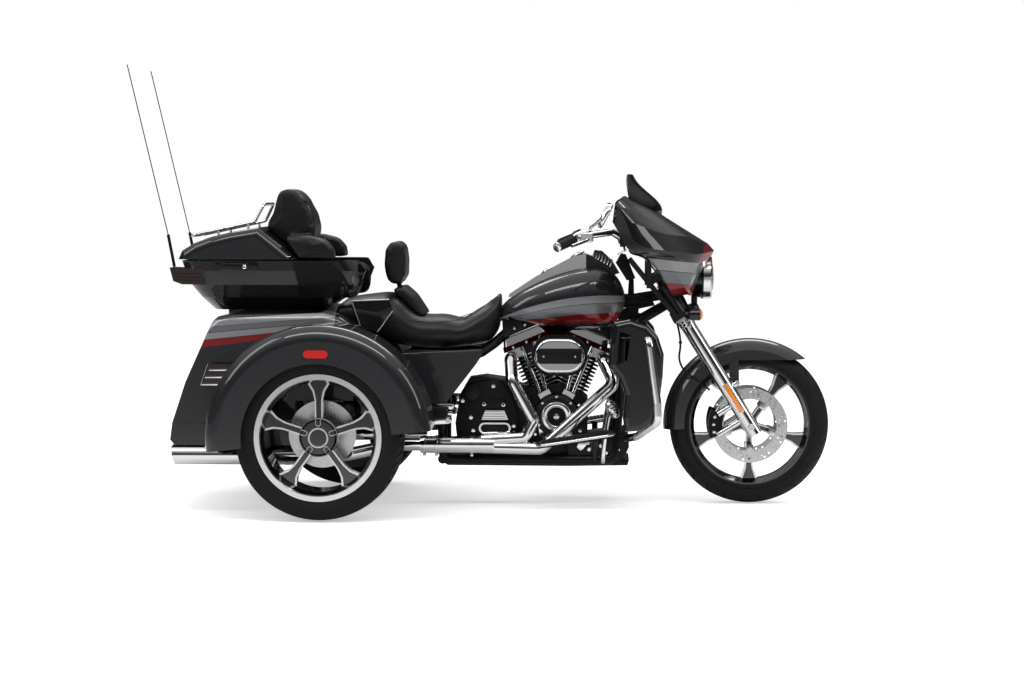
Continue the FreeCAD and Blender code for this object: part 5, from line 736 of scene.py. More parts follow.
def addLoop(shape, x, z, radius, steps):
    ring = [shape.verts.new((x + radius * math.cos(math.tau * i / steps), 0,
                             z + radius * math.sin(math.tau * i / steps))) for i in range(steps)]
    return [shape.edges.new((ring[i], ring[(i + 1) % steps])) for i in range(steps)]


def makeDiscs(settings):
    shape = bmesh.new()
    holes, thick = settings["holes"], settings["thick"]
    x, z = settings["axle"]
    for plane in settings["planes"]:
        edges = addLoop(shape, 0, 0, settings["outer"] / 1000, 120)
        edges += addLoop(shape, 0, 0, settings["inner"] / 1000, 96)
        for radius, shift in settings["rows"]:
            for index in range(holes):
                angle = (index + shift) * math.tau / holes
                edges += addLoop(shape, radius / 1000 * math.cos(angle), radius / 1000 * math.sin(angle),
                                 settings["hole"] / 1000, 12)
        filled = bmesh.ops.triangle_fill(shape, use_beauty=True, use_dissolve=False, edges=edges)
        faces = [g for g in filled["geom"] if isinstance(g, bmesh.types.BMFace)]
        grown = bmesh.ops.extrude_face_region(shape, geom=faces)
        up = [g for g in grown["geom"] if isinstance(g, bmesh.types.BMVert)]
        bmesh.ops.translate(shape, verts=up, vec=(0, thick / 1000, 0))
        own = {v for f in faces for v in f.verts} | set(up)
        bmesh.ops.translate(shape, verts=list(own), vec=spot(x, plane - thick / 2, z))
        out = Vector((0, math.copysign(1, plane), 0))
        for index in range(5):  # arms down to the bolts that hold the disc
            angle = math.tau * index / 5 - math.pi / 2
            middle = spot(x, plane, z) + rayAt(angle) * settings["armReach"]
            addBlock(shape, middle, settings["arm"], 0.001, 2, about(-angle))
            inward, outward = settings["boltShift"]
            addBolt(shape, middle - rayAt(angle) * inward + out * outward, out, 0.008, 0.005)
    finishPiece("drilledDiscs", shape, discSteel, "front_wheel", 30, ("front_rotors",))


makeDiscs(discSet)

print("engine details")
engineSet = {
    "crank": (896, 360), "lean": 22.5,
    "gearbox": [(502, 402), (516, 448), (545, 486), (600, 498), (656, 502), (694, 478), (717, 439), (738, 380),
                (746, 329), (738, 292), (723, 273), (496, 272), (490, 330)],
    "strap": [(818, 398), (837, 392), (856, 300), (858, 276), (828, 276), (822, 320)],
    # for each group of screws: its places, the face it sits on, the radius and height of its heads
    "bolts": [
        ([(606, 406), (683, 404), (553, 353), (562, 300), (724, 318), (545, 466), (643, 479), (520, 420)],
         -123.8, 0.0085, 0.008),
        ([(810, 284), (810, 349), (985, 402), (990, 300), (960, 268)], -110, 0.0075, 0.008),
        ([(840, 412), (952, 412), (826, 324), (966, 324), (896, 438)], -132.2, 0.006, 0.006),
        (ringPairs(896, 360, 48, 5, 0.5), -161.6, 0.0042, 0.003),
        (ringPairs(773, 360, 205, 12, 0.5, 88), 187.8, 0.007, 0.006),
        (ringPairs(664.8, 360, 66, 5, 0.25), 201.8, 0.005, 0.004)],
    "headBolts": ((-58, 0, 58), 318, 89.3),
    "coverRings": [(38, 0), (38, 1.6), (35, 2.4), (33, 2.4), (32, 1.0), (29, 1.0), (28, 2.4), (25, 2.4), (24, 1.0),
                   (21, 1.0), (20, 2.8), (13, 2.8), (12, 1.4), (0, 1.4)],
    "chromeRing": [(57, 0), (57, 1.6), (54, 3.4), (42, 3.4), (39, 1.6), (39, 0)],
    "centreCap": [(11, 0), (11, 2.4), (9.5, 3.2), (5, 3.2), (4, 1.5), (0, 1.5)],
}


def alongCylinder(settings, sign, across, up, side):
    # a point of one leaning cylinder, from its own width and height
    x, z = settings["crank"]
    lean = math.radians(settings["lean"]) * sign
    return spot(x + across * math.cos(lean) + up * math.sin(lean), side,
                z + up * math.cos(lean) - across * math.sin(lean))


def makeEngine(settings):
    x, z = settings["crank"]
    plate = bmesh.new()
    addSidePlate(plate, settings["gearbox"], -110, -124, 5, 3)
    addSidePlate(plate, roundedPoints(560, 452, 62, 62, 31), -124, -132, 3)
    addSidePlate(plate, roundedPoints(645, 405, 96, 34, 8), -124, -130, 2)
    finishPiece("gearboxPlate", plate, blackWrinkle)
    bolts = bmesh.new()
    for group in settings["bolts"]:
        addBolts(bolts, *group)
    places, up, face = settings["headBolts"]
    for sign in (-1, 1):
        for across in places:
            for side in (-1, 1):
                addBolt(bolts, alongCylinder(settings, sign, across, up, side * face), (0, side, 0), 0.0055, 0.004)
    finishPiece("engineBolts", bolts, chrome)
    insert = bmesh.new()
    addTurned(insert, spot(x, -161.6, z), rightSide, settings["coverRings"])
    for index in range(12):
        angle = math.tau * index / 12
        addBlock(insert, spot(x + 30.5 * math.cos(angle), -163.4, z + 30.5 * math.sin(angle)),
                 (0.007, 0.0012, 0.0022), 0.0004, 1, about(-angle))
    addSidePlate(insert, roundedPoints(650, 312.5, 112, 31, 15.4), -160.2, -162.4, 1.0)
    finishPiece("coverInserts", insert, blackWrinkle)
    bright = bmesh.new()
    addTurned(bright, spot(x, -161.6, z), rightSide, settings["chromeRing"])
    addTurned(bright, spot(x, -162.8, z), rightSide, settings["centreCap"], 24)
    addSidePlate(bright, settings["strap"], -110, -122, 2)
    addSidePlate(bright, roundedPoints(908, 281, 104, 20, 6, 3, 6), -110, -126, 3)
    for rise in range(4):  # shallow steps of the gearbox hood
        step = roundedPoints(645 - rise * 0.4, 348 + rise * 9.4, 96 - rise * 8, 4.4, 2)
        addSidePlate(bright, step, -151.6, -154.4, 1)
    finishPiece("engineBrightwork", bright, chrome)


makeEngine(engineSet)

fillSet = {
    "valley": [(856, 560), (936, 560), (950, 640), (950, 716), (842, 716), (842, 640)],
    "belly": [(446, 166), (460, 158), (940, 157), (1180, 160), (1186, 182), (1120, 200), (640, 204), (452, 192)],
    "chin": [(938, 200), (930, 268), (1100, 292), (1182, 288), (1186, 236), (1164, 186), (1100, 172), (980, 166)],
    "wedge": ((60, 730), (216, 664), (220, 742), (64, 764)), "wedgeHalf": (78, 60),
    "plugs": ((86, 736, 0.030), (128, 722, 0.022), (170, 708, 0.026)),
    "cooler": {"x": 1117, "long": 38, "half": 74, "z": (262, 640), "fins": 22},
    "chinBolts": ((994, 239), (1027, 228), (1072, 242), (1092, 214), (986, 194), (1066, 194), (1140, 226)),
    "hook": [(976, 236), (984, 262), (1010, 272), (1048, 262), (1040, 248), (1012, 250), (1006, 228), (990, 222)],
    "bar": [(936, 660), (1020, 656), (1016, 672), (940, 676)],
}


def makeFillers(settings):
    # the black wiring covers, cooler and pans that close the view between the engine and the frame
    shape = bmesh.new()
    bits = bmesh.new()
    crank = engineSet["crank"][0]
    addSidePlate(shape, settings["valley"], 46, -46, 8)
    for sign in (-1, 1):
        for level, half in enumerate(settings["wedgeHalf"]):
            lifted = [(crank + sign * x, z + level * (4 if z < 740 else 0)) for x, z in settings["wedge"]]
            addSidePlate(shape, lifted, half, -half, 6)
        for x, z, wide in settings["plugs"]:
            addBlock(shape, spot(crank + sign * x, -74, z), (wide, 0.022, 0.018), 0.003)
            addBolt(bits, spot(crank + sign * x, -84.6, z), rightSide, 0.0055, 0.005)
    cooler = settings["cooler"]
    low, high = cooler["z"]
    addBlock(shape, spot(cooler["x"], 0, (low + high) / 2),
             (cooler["long"] / 1000 * 0.6, cooler["half"] * 2 / 1000, (high - low) / 1000), 0.006)
    for index in range(cooler["fins"]):
        addBlock(shape, spot(cooler["x"] + 4, 0, low + (high - low) * (index + 0.5) / cooler["fins"]),
                 (cooler["long"] / 1000, cooler["half"] * 1.92 / 1000, 0.003), 0.0006, 1)
    addSidePlate(shape, settings["belly"], 118, -118, 8)
    addSidePlate(shape, settings["chin"], 104, -136, 10, 3)
    finishPiece("frameCovers", shape, blackPowder)
    addBolts(bits, settings["chinBolts"], -135.6, 0.009, 0.008)
    addSidePlate(bits, settings["hook"], -136, -150, 4, 3)
    addSidePlate(bits, settings["bar"], -72, -84, 3)
    finishPiece("frameBolts", bits, chrome)


makeFillers(fillSet)

airSet = {"centre": (909, 610), "face": -284, "ribY": -239, "long": 217.8, "high": 156.6, "ribs": 84,
          "rib": (0.007, 0.023, 0.0032)}


def makeAirCleaner(settings):
    x, z = settings["centre"]
    face = settings["face"]
    panel = bmesh.new()
    addSidePlate(panel, roundedPoints(x, z, 176, 60, 12, 5), face + 0.6, face - 2.2, 1.2)
    half = (settings["long"] - settings["high"]) / 2
    radius = settings["high"] / 2
    total = 4 * half + math.tau * radius
    for index in range(settings["ribs"]):  # evenly around the oval of two straights and two half circles
        run = total * index / settings["ribs"]
        back = run >= 2 * half + math.pi * radius
        run -= (2 * half + math.pi * radius) * back
        flip = -1 if back else 1
        angle = math.pi / 2 * flip
        if run < 2 * half:
            place = (x + flip * (run - half), z + flip * radius)
        else:
            angle -= (run - 2 * half) / radius
            place = (x + flip * half + radius * math.cos(angle), z + radius * math.sin(angle))
        addBlock(panel, spot(place[0], settings["ribY"], place[1]), settings["rib"], 0.0006, 1, about(-angle))
    finishPiece("airCleanerPanel", panel, blackWrinkle)
    screws = bmesh.new()
    addBolts(screws, ((x - 62, z), (x + 62, z)), face - 2.0, 0.0045, 0.003)
    finishPiece("airCleanerScrews", screws, chrome)


makeAirCleaner(airSet)

print("exhaust clamps and foot controls")
exhaustSet = {"line": (-190, 250), "clamps": (560, 420, 372), "radius": 35.5, "muffler": (380, 228.7),
              "clamp": [(33.5, -7), (36.7, -6), (37.1, 0), (36.7, 6), (33.5, 7)],
              "seam": [(38, -5), (40.4, -4), (40.4, 4), (38, 5)], "end": [(38, -5), (40.2, -3), (36, 6), (26, 9)]}


def makeExhaust(settings):
    shape = bmesh.new()
    y, z = settings["line"]
    for x in settings["clamps"]:
        addTurned(shape, spot(x, y, z), (1, 0, 0), settings["clamp"])
        addBlock(shape, spot(x, y, z - settings["radius"] - 5), (0.012, 0.016, 0.012), 0.002)
    y, z = settings["muffler"]
    for side in (-1, 1):  # the mufflers' rolled ends and a seam ring
        addTurned(shape, spot(-150, side * y, z), (1, 0, 0), settings["seam"])
        addTurned(shape, spot(-84, side * y, z), (1, 0, 0), settings["end"])
    finishPiece("exhaustClamps", shape, chrome)


makeExhaust(exhaustSet)

boardSet = {"x": 825, "z": 272, "tilt": 8.7, "long": 298, "middle": 326, "wide": 128, "ribs": 17}


def boardPlace(settings, along, across, up):
    # a point on the tilted footboard, from its rear inner corner
    tilt = math.radians(settings["tilt"])
    return spot(settings["x"] + along * math.cos(tilt) - up * math.sin(tilt), across,
                settings["z"] + along * math.sin(tilt) + up * math.cos(tilt))


def makeBoards(settings):
    tilt = about(-math.radians(settings["tilt"]))
    long, wide, middle = settings["long"], settings["wide"], settings["middle"]
    for side, name in ((-1, "Right"), (1, "Left")):
        pad = bmesh.new()
        addBlock(pad, boardPlace(settings, long / 2, side * middle, 2.5),
                 ((long - 26) / 1000, (wide - 22) / 1000, 0.005), 0.002, 2, tilt)
        for index in range(settings["ribs"]):
            along = 26 + (long - 52) * index / (settings["ribs"] - 1)
            addBlock(pad, boardPlace(settings, along, side * middle, 6.0), (0.006, (wide - 38) / 1000, 0.004),
                     0.0014, 2, tilt)
        finishPiece("boardPad" + name, pad, gripRubber)
        line = [boardPlace(settings, along, side * across, -5)
                for along, across in roundedPoints(long / 2, middle, long + 5, wide + 5, 40, 5)]
        tubeAlong("boardRim" + name, line, 0.0055, chrome, cyclic=True)


makeBoards(boardSet)

pedalSet = {"pivot": (1081.3, 133, 185), "knee": (1081, 250, 192), "padSize": (0.024, 0.030, 0.040), "tilt": -28,
            "right": {"top": (1098, 252, 360), "pad": (1116, 282, 402)},
            "left": {"top": (1098, 252, 352), "pad": (1110, 282, 384)},
            "pegRib": ((13, 4), (13, 9), (11.4, 10), (11.4, 11)), "ribPitch": 8}


def makePedals(settings):
    # each lever runs out from its pivot at the cradle and up to an oval pad or a ribbed peg
    for name, side in (("right", -1), ("left", 1)):
        own = settings[name]
        (px, py, pz), (kx, ky, kz), (x, y, z) = settings["pivot"], settings["knee"], own["pad"]
        places = ((px, py, pz), (px, py + 60, pz), (kx, ky, kz), (kx + 2, ky, kz + 50), own["top"],
                  (x - 6, y - 4, z - 8))
        tubeAlong(name + "Lever", [spot(a, side * b, c) for a, b, c in places], 0.0085, chrome)
        shape = bmesh.new()
        if side < 0:
            angle = math.radians(settings["tilt"])
            pad = bmesh.ops.create_uvsphere(shape, u_segments=40, v_segments=20, radius=1.0)["verts"]
            bmesh.ops.transform(shape, matrix=Matrix.Translation(spot(x, -y, z)) @ about(angle)
                                @ Matrix.Diagonal((*settings["padSize"], 1)), verts=pad)
            for index in range(-2, 3):
                place = spot(x, -y, z) + Vector((math.sin(angle), 0, math.cos(angle))) * index * 0.012
                addBlock(shape, place + Vector((0, -0.0285, 0)), (0.026 - 0.003 * abs(index), 0.004, 0.004),
                         0.001, 1, about(angle))
        else:
            ribs = [(radius, along + index * settings["ribPitch"]) for index in range(6)
                    for radius, along in settings["pegRib"]]
            addTurned(shape, spot(x, 256, z), (0, 1, 0), [(0, 0), (11, 0), *ribs, (12, 53), (0, 55)], 32)
        finishPiece(name + "Pad", shape, chrome, sharp=30, replaced=("foot_controls",) if side < 0 else ())


makePedals(pedalSet)

print("tank, console and neck")
neckSet = {
    "box": [(1131, 968), (1152, 1006), (1172, 1002), (1211, 905), (1176, 897)], "boxHalf": 17,
    "post": [(1180, 830), (1206, 834), (1204, 902), (1184, 900)],
    "rib": [(1178, 818), (1282, 806), (1278, 814), (1182, 832)],
    "wires": [((1150, -57, 812), (1186, -66, 806), (1222, -62, 822), (1262, -57, 812)),
              ((1150, -57, 800), (1190, -70, 786), (1226, -64, 800), (1266, -57, 798)),
              ((1150, 57, 806), (1190, 68, 796), (1226, 64, 812), (1266, 57, 805))],
    "caps": [((976, 0, 1001), 31, 26), ((850, 0, 935), 22, 30)],
    "capSteps": ((0, -6), (0, 1), (2, 3), (5, 3.4), (7, 1.6), (9, 5)),
}


def makeNeck(settings):
    shape = bmesh.new()
    addSidePlate(shape, settings["box"], settings["boxHalf"], -settings["boxHalf"], 4, 3)
    addSidePlate(shape, settings["post"], 8, -8, 2)
    # ribs and a recessed lid on the neck cover's flanks
    addPlatePair(shape, settings["rib"], 56, 61, 2)
    addPlatePair(shape, roundedPoints(1160, 758, 34, 78, 8), 56, 60, 2)
    finishPiece("neckBox", shape, blackPowder)
    bright = bmesh.new()
    for index in range(5):
        addBlock(bright, spot(1142 + index * 7.5, 0, 1002 + index * 4.4), (0.0042, 0.034, 0.010), 0.001, 2,
                 about(math.radians(-30)))
    addBolts(bright, ((1165, 790), (1165, 730)), -60, 0.006, 0.005)
    finishPiece("neckTrim", bright, chrome)
    for index, line in enumerate(settings["wires"]):
        tubeAlong("neckLoom" + str(index + 1), [spot(*point) for point in line], 0.0045, mouldedAbs)
    caps = bmesh.new()
    for place, radius, tilt in settings["caps"]:
        axis = rayAt(math.radians(90 + tilt))
        addTurned(caps, spot(*place), axis, [(radius - less, along) for less, along in settings["capSteps"]]
                  + [(6, 7), (0, 7)])
    finishPiece("consoleCaps", caps, chrome)
    slats = bmesh.new()
    for index in range(7):
        for side in (-1, 1):
            addBlock(slats, spot(1040 + index * 12, side * 46, 994 - max(0, index - 2) * 6.5),
                     (0.005, 0.004, 0.030), 0.0012, 2, about(math.radians(20)))
    finishPiece("consoleSlats", slats, chrome)


makeNeck(neckSet)

print("lamps")
lampSet = {"slats": [(-478, 512, -372), (-462, 540, -366), (-446, 568, -358)], "bar": ((-474, 506), (-444, 592)),
           "ribs": (905, 918, 931), "signal": (1402, 176, 769),
           "shell": [(0, -1), (10, -1), (19, 8), (23.6, 26), (23.8, 58), (22.4, 62), (21, 62), (21, 60)],
           "lens": [(21.2, 60), (20.5, 64), (17, 68), (9, 71), (0, 72)],
           "lamp": (1497, 0, 911), "cells": ((-30, 0), (30, 0), (0, 42), (0, -42)),
           "cell": [(24, 0), (24, 6), (22, 8), (20, 5), (6, 3), (0, 3)]}


def makeLamps(settings):
    bright, dark, shape, lens, inner = [bmesh.new() for index in range(5)]
    x, y, z = settings["signal"]
    lamp = spot(*settings["lamp"])
    for start, level, end in settings["slats"]:
        corners = [(start + 4, level - 5), (end, level - 5), (end + 4, level + 5), (start + 8, level + 5)]
        addPlatePair(bright, corners, 462, 468.6, 1.6)
    for level in settings["ribs"]:
        corners = [(-598, level), (-500, level - 2), (-500, level + 1), (-600, level + 3)]
        addPlatePair(dark, corners, 290.4, 292, 0.6, 1)
    for side in (-1, 1):
        low, high = [spot(a, side * 467.5, b) for a, b in settings["bar"]]
        addRod(bright, low, high - low, 0.0028, None, 12)
        place = spot(x, side * y, z)
        addTurned(shape, place, (1, 0, 0), settings["shell"])
        addTurned(lens, place, (1, 0, 0), settings["lens"])
        addRod(shape, spot(x + 19, side * 149, z), Vector((0, side, 0)), 0.0105, 0.012, 28)
        addBlock(inner, lamp + Vector((0.004, 0, side * 0.026)), (0.006, 0.096, 0.005), 0.001)
    finishPiece("lampBezels", bright, chrome)
    finishPiece("lampRibs", dark, mouldedAbs)
    finishPiece("signalShells", shape, blackCoat, "steering", 34, ("turn_signals",))
    finishPiece("signalLenses", lens, amber, "steering")
    for y, z in settings["cells"]:
        addTurned(inner, lamp + Vector((0, y / 1000, z / 1000)), (1, 0, 0), settings["cell"], 40)
    finishPiece("lampReflectors", inner, chrome, "steering")


makeLamps(lampSet)

print("fork, brakes and hand controls")
forkSet = {"axle": (1670, 0, 319.3), "rake": 32, "nut": [(15, 0), (15, 4), (12, 7), (7, 7), (6, 4), (0, 4)],
           "ring": [(31.8, -1.5), (33, 0), (31.8, 1.5)], "rings": (0.478, 0.492), "caliperBolts": (166, 178, 190),
           "pipe": ((1372, -112, 742), (1384, -124, 700), (1390, -130, 640), (1380, -128, 590), (1402, -112, 540),
                    (1452, -98, 505), (1508, -92, 462)), "clips": ((1388, -129, 655), (1440, -101, 511))}


def makeForkDetails(settings):
    reflector, bright, clips = [bmesh.new() for index in range(3)]
    rake = math.radians(settings["rake"])
    turn = about(-rake)
    up = Vector((-math.sin(rake), 0, math.cos(rake)))
    axle = spot(*settings["axle"])
    for side in (-1, 1):
        out = Vector((0, side, 0))
        middle = axle + up * 0.134 + out * 0.1495
        addBlock(reflector, middle, (0.017, 0.0045, 0.126), 0.0016, 2, turn)
        addBlock(bright, middle - out * 0.002, (0.021, 0.004, 0.131), 0.0015, 2, turn)
        addTurned(bright, axle + out * 0.147, out, settings["nut"], 6)
        addBolt(bright, axle + up * 0.472 + out * 0.1495 + rayAt(rake) * 0.002, out, 0.008, 0.005)
        for reach in settings["rings"]:
            addTurned(bright, axle + up * reach + out * 0.118, up, settings["ring"])
        for angle in settings["caliperBolts"]:
            addBolt(bright, axle + rayAt(math.radians(angle)) * 0.146 + out * 0.0923, out, 0.0065, 0.004)
    finishPiece("forkReflectors", reflector, amber, "steering")
    finishPiece("forkBrightwork", bright, chrome, "steering")
    tubeAlong("brakePipe", [spot(*point) for point in settings["pipe"]], 0.0042, mouldedAbs, "steering")
    for place in settings["clips"]:
        addBlock(clips, spot(*place), (0.014, 0.012, 0.009), 0.002)
    finishPiece("brakeClips", clips, blackPowder, "steering")


makeForkDetails(forkSet)

gripSet = {"inner": (992, 300, 1078), "outer": (901, 430, 1039), "radius": 17, "ribs": 14, "start": 0.0415,
           "rib": ((0.9, 0), (0.9, 0.72), (0.1, 0.78), (0.1, 0.94)),
           "end": [(15, -6), (18.2, -5), (18.4, -1), (16, 0.4), (8, 0.8), (0, 0.8)],
           "collar": [(17, -1), (19.4, 0), (19.4, 4), (17, 5)]}


def makeGrips(settings):
    radius = settings["radius"]
    for side, name in ((-1, "Right"), (1, "Left")):
        inner, outer = [spot(x, side * y, z) for x, y, z in (settings["inner"], settings["outer"])]
        axis = (outer - inner).normalized()
        start = inner + axis * settings["start"]
        reach = (outer - start).length * 1000 - 8
        pitch = (reach - 12) / settings["ribs"]
        ribs = bmesh.new()
        profile = [(radius - 3, 0), (radius + 0.6, 1)]
        for index in range(settings["ribs"]):
            profile += [(radius + more, 6 + pitch * (index + share)) for more, share in settings["rib"]]
        addTurned(ribs, start, axis, profile + [(radius + 0.6, reach - 4), (radius - 3, reach - 3)], 40)
        finishPiece("gripSleeve" + name, ribs, gripRubber, "steering", 30)
        ends = bmesh.new()
        addTurned(ends, outer, axis, settings["end"], 40)
        addTurned(ends, start, axis, settings["collar"], 40)
        finishPiece("gripEnds" + name, ends, chrome, "steering")


makeGrips(gripSet)

mirrorSet = {"place": (1077, 430, 1160), "wide": 132, "high": 98.56, "lean": 28, "steps": 5,
             "outline": [(-0.5, 0.1), (-0.42, 0.42), (0, 0.5), (0.38, 0.36), (0.5, 0), (0.36, -0.34), (0, -0.42),
                         (-0.4, -0.3)]}


def makeMirrors(settings):
    # silvered glass in each shell's rear face
    silver = newMaterial("silveredMirrorGlass", "#c8ccd0", Metallic=1.0, Roughness=0.02)[0]
    glass = bmesh.new()
    x, y, z = settings["place"]
    outline, steps = settings["outline"], settings["steps"]
    for side in (-1, 1):
        turn = Matrix.Translation(spot(x, side * y, z)) @ about(math.radians(settings["lean"]))
        verts = []
        for index in range(len(outline) * steps):  # a smooth closed line through the outline's points
            at, share = divmod(index / steps, 1)
            pair = []
            for a, b, c, d in zip(*[outline[(int(at) + shift) % len(outline)] for shift in (-1, 0, 1, 2)]):
                pair.append(b + 0.5 * share * (c - a + share * (2 * a - 5 * b + 4 * c - d
                                                                + share * (3 * (b - c) + d - a))))
            verts.append(glass.verts.new(turn @ Vector((-0.0007, -side * pair[0] * settings["wide"] / 1000,
                                                        pair[1] * settings["high"] / 1000))))
        glass.faces.new(verts)
    for face in glass.faces:
        if face.normal.x > 0:
            face.normal_flip()
    finishPiece("mirrorGlass", glass, silver, "steering", recalc=False)


makeMirrors(mirrorSet)

dashSet = {"face": 1136, "z": 1133.3, "gauges": (-157.7, -52.6, 52.6, 157.7), "speakers": (-297.8, 297.8),
           "speakerFace": 1148, "speakerZ": 1095.3, "marks": 25, "reach": 0.029, "needle": 205,
           "bezel": [(39.5, -12), (39.5, 1), (37.5, 2.4), (34, 1.2), (33.6, -1)],
           "dial": [(34, 0.2), (30, 0.6), (0, 0.6)],
           "speaker": [(57, -2), (57, 2), (54, 3.4), (50, 1.4), (0, 4.4)]}


def makeDash(settings):
    dark, bezel, marks = [bmesh.new() for index in range(3)]
    back = Vector((-1, 0, 0))

    def addMark(place, angle, reach, size, lift):
        offset = Vector((-lift, math.cos(angle) * reach, math.sin(angle) * reach))
        addBlock(marks, place + offset, size, 0, 1, about(angle, "X"))

    for y in settings["gauges"]:
        place = spot(settings["face"], y, settings["z"])
        addTurned(bezel, place, back, settings["bezel"])
        addTurned(dark, place, back, settings["dial"])
        for index in range(settings["marks"]):
            long = 0.005 if index % 4 == 0 else 0.0026
            addMark(place, math.radians(-40 + 260 * index / 24), settings["reach"] - long / 2,
                    (0.0004, long, 0.0008), 0.0009)
        addMark(place, math.radians(settings["needle"]), 0.012, (0.0006, 0.024, 0.0014), 0.0012)
    for y in settings["speakers"]:
        place = spot(settings["speakerFace"], y, settings["speakerZ"])
        addTurned(dark, place, back, settings["speaker"], 64)
        for index in range(-4, 5):
            reach = math.sqrt(48 ** 2 - (index * 11) ** 2)
            addBlock(dark, place + Vector((-0.0045, 0, index * 0.011)), (0.003, reach * 2 / 1000, 0.0026),
                     0.0006, 1)
    finishPiece("dashDials", dark, mouldedAbs, "steering")
    finishPiece("dashBezels", bezel, chrome, "steering")
    white = newMaterial("printedDialInk", "#e8e8e4", Roughness=0.5)[0]
    finishPiece("dashMarks", marks, white, "steering")


makeDash(dashSet)

print("case pods, latch, panels and trim")


def addSkin(shape, node, polygon, side, lift, thick, floor=0.15):
    # a panel cut from a part's own side surface along a convex outline, then lifted off it and given a wall
    copy = bmesh.new()
    copy.from_mesh(nodes[node].data)
    bmesh.ops.remove_doubles(copy, verts=copy.verts, dist=weldReach)
    far = [face for face in copy.faces
           if face.normal.y * side < floor or face.calc_center_median().y * side < 0]
    bmesh.ops.delete(copy, geom=far, context="FACES")
    corners = [spot(x, 0, z) for x, z in polygon]
    middle = sum(corners, Vector()) / len(corners)
    for start, end in zip(corners, corners[1:] + corners[:1]):
        normal = (end - start).cross(Vector((0, 1, 0))).normalized()
        if normal.dot(middle - start) > 0:
            normal = -normal
        bmesh.ops.bisect_plane(copy, geom=copy.verts[:] + copy.edges[:] + copy.faces[:], dist=1e-6,
                               plane_co=start, plane_no=normal, clear_outer=True)
    copy.normal_update()
    for vert in copy.verts:
        vert.co += vert.normal * lift / 1000
    grown = bmesh.ops.extrude_face_region(copy, geom=copy.faces[:])
    copy.normal_update()
    for vert in [g for g in grown["geom"] if isinstance(g, bmesh.types.BMVert)]:
        outward = sum([face.normal for face in vert.link_faces if face.normal.y * side > floor], Vector())
        vert.co += (outward.normalized() if outward.length else Vector((0, side, 0))) * thick / 1000
    mesh = bpy.data.meshes.new("skin")
    copy.to_mesh(mesh)
    copy.free()
    shape.from_mesh(mesh)
    bpy.data.meshes.remove(mesh)


panelSet = {
    "pod": [(-138, 978), (8, 979), (60, 930), (92, 872), (60, 846), (-104, 838)],
    "recess": [(-452, 983), (-283, 983), (-270, 943), (-420, 942), (-436, 966)],
    "handle": [(-418, 972), (-312, 972), (-305, 946), (-418, 946)],
    "lock": [(8, 0), (8, 1.4), (6.6, 2.4), (5, 1.2), (1.4, 1.2), (1.2, 0.4), (0, 0.4)],
    "speaker": [(60, -26), (72, -8), (75, 18), (73, 34), (68, 42), (61, 44), (56, 40), (55, 30), (50, 28),
                (0, 28)],
    "grille": [(55.5, 30), (54, 34), (42, 40), (24, 44), (0, 45)],
    "trim": [(88, 822), (126, 712), (190, 700), (250, 784), (236, 828)],
    # for each silver line: its two corners of the trim and its radius
    "lines": (("seatTrimRear", 1, 0, 0.0020), ("seatTrimTop", 0, 4, 0.0042), ("seatTrimFront", 3, 2, 0.0020)),
}


def makePanels(settings):
    pods, locks, handles, speakers, grilles, plates = [bmesh.new() for index in range(6)]
    addPlatePair(handles, settings["recess"], 287, 291.6, 1.2)
    addPlatePair(handles, settings["handle"], 287, 297, 2.4, 3)
    addPlatePair(plates, settings["trim"], 204, 229, 2, 2)
    for side in (-1, 1):
        addSkin(pods, "luggage_box", settings["pod"], side, 0.4, 5)
        addTurned(locks, spot(-326, side * 296.6, 959), (0, side, 0), settings["lock"], 32)
        place = spot(58, side * 204, 908)
        axis = Vector((1, side * 0.5, 0.05))
        addTurned(speakers, place, axis, settings["speaker"], 64)
        addTurned(grilles, place, axis, settings["grille"], 64)
        for index in range(4):
            ring = 14 + index * 11
            addTurned(grilles, place, axis, [(ring, 43.6 - index * 1.6), (ring + 2, 44.2 - index * 1.8),
                                             (ring + 4, 41.4 - index * 1.6)], 56)
    finishPiece("casePods", pods, mouldedAbs, sharp=32)
    finishPiece("caseLatches", handles, blackCoat)
    finishPiece("caseLocks", locks, chrome)
    finishPiece("speakerPods", speakers, blackCoat)
    finishPiece("speakerGrilles", grilles, castAluminium)
    for side, label in ((-1, "Right"), (1, "Left")):
        corners = [spot(x, side * 230, z) for x, z in settings["trim"]]
        for name, start, end, radius in settings["lines"]:
            tubeAlong(name + label, [corners[start], corners[end]], radius, castAluminium, smooth=False)
    finishPiece("seatPanels", plates, blackCoat)


makePanels(panelSet)

print("seat and backrests")
softSet = {
    "seatCushion": {"node": "seat", "body": "chassis", "voxel": 0.006, "shrink": 0.003, "cap": 0.004, "relax": 8,
                    "fill": 0.7, "seams": [
                        ([(292, 748), (400, 734), (498, 741), (560, 764), (600, 790), (640, 824)], 0.0016),
                        ([(560, 792), (600, 826), (636, 842)], 0.0012)]},
    "riderPads": {"node": "rider_backrest", "body": "chassis", "voxel": 0.0045, "shrink": 0.002, "cap": 0.0025,
                  "relax": 10, "fill": 0.8, "seams": []},
    "passengerPads": {"node": "passenger_backrest", "body": "luggage_lid", "voxel": 0.006, "shrink": 0.002,
                      "cap": 0.003, "relax": 10, "fill": 0.75, "seams": []},
}


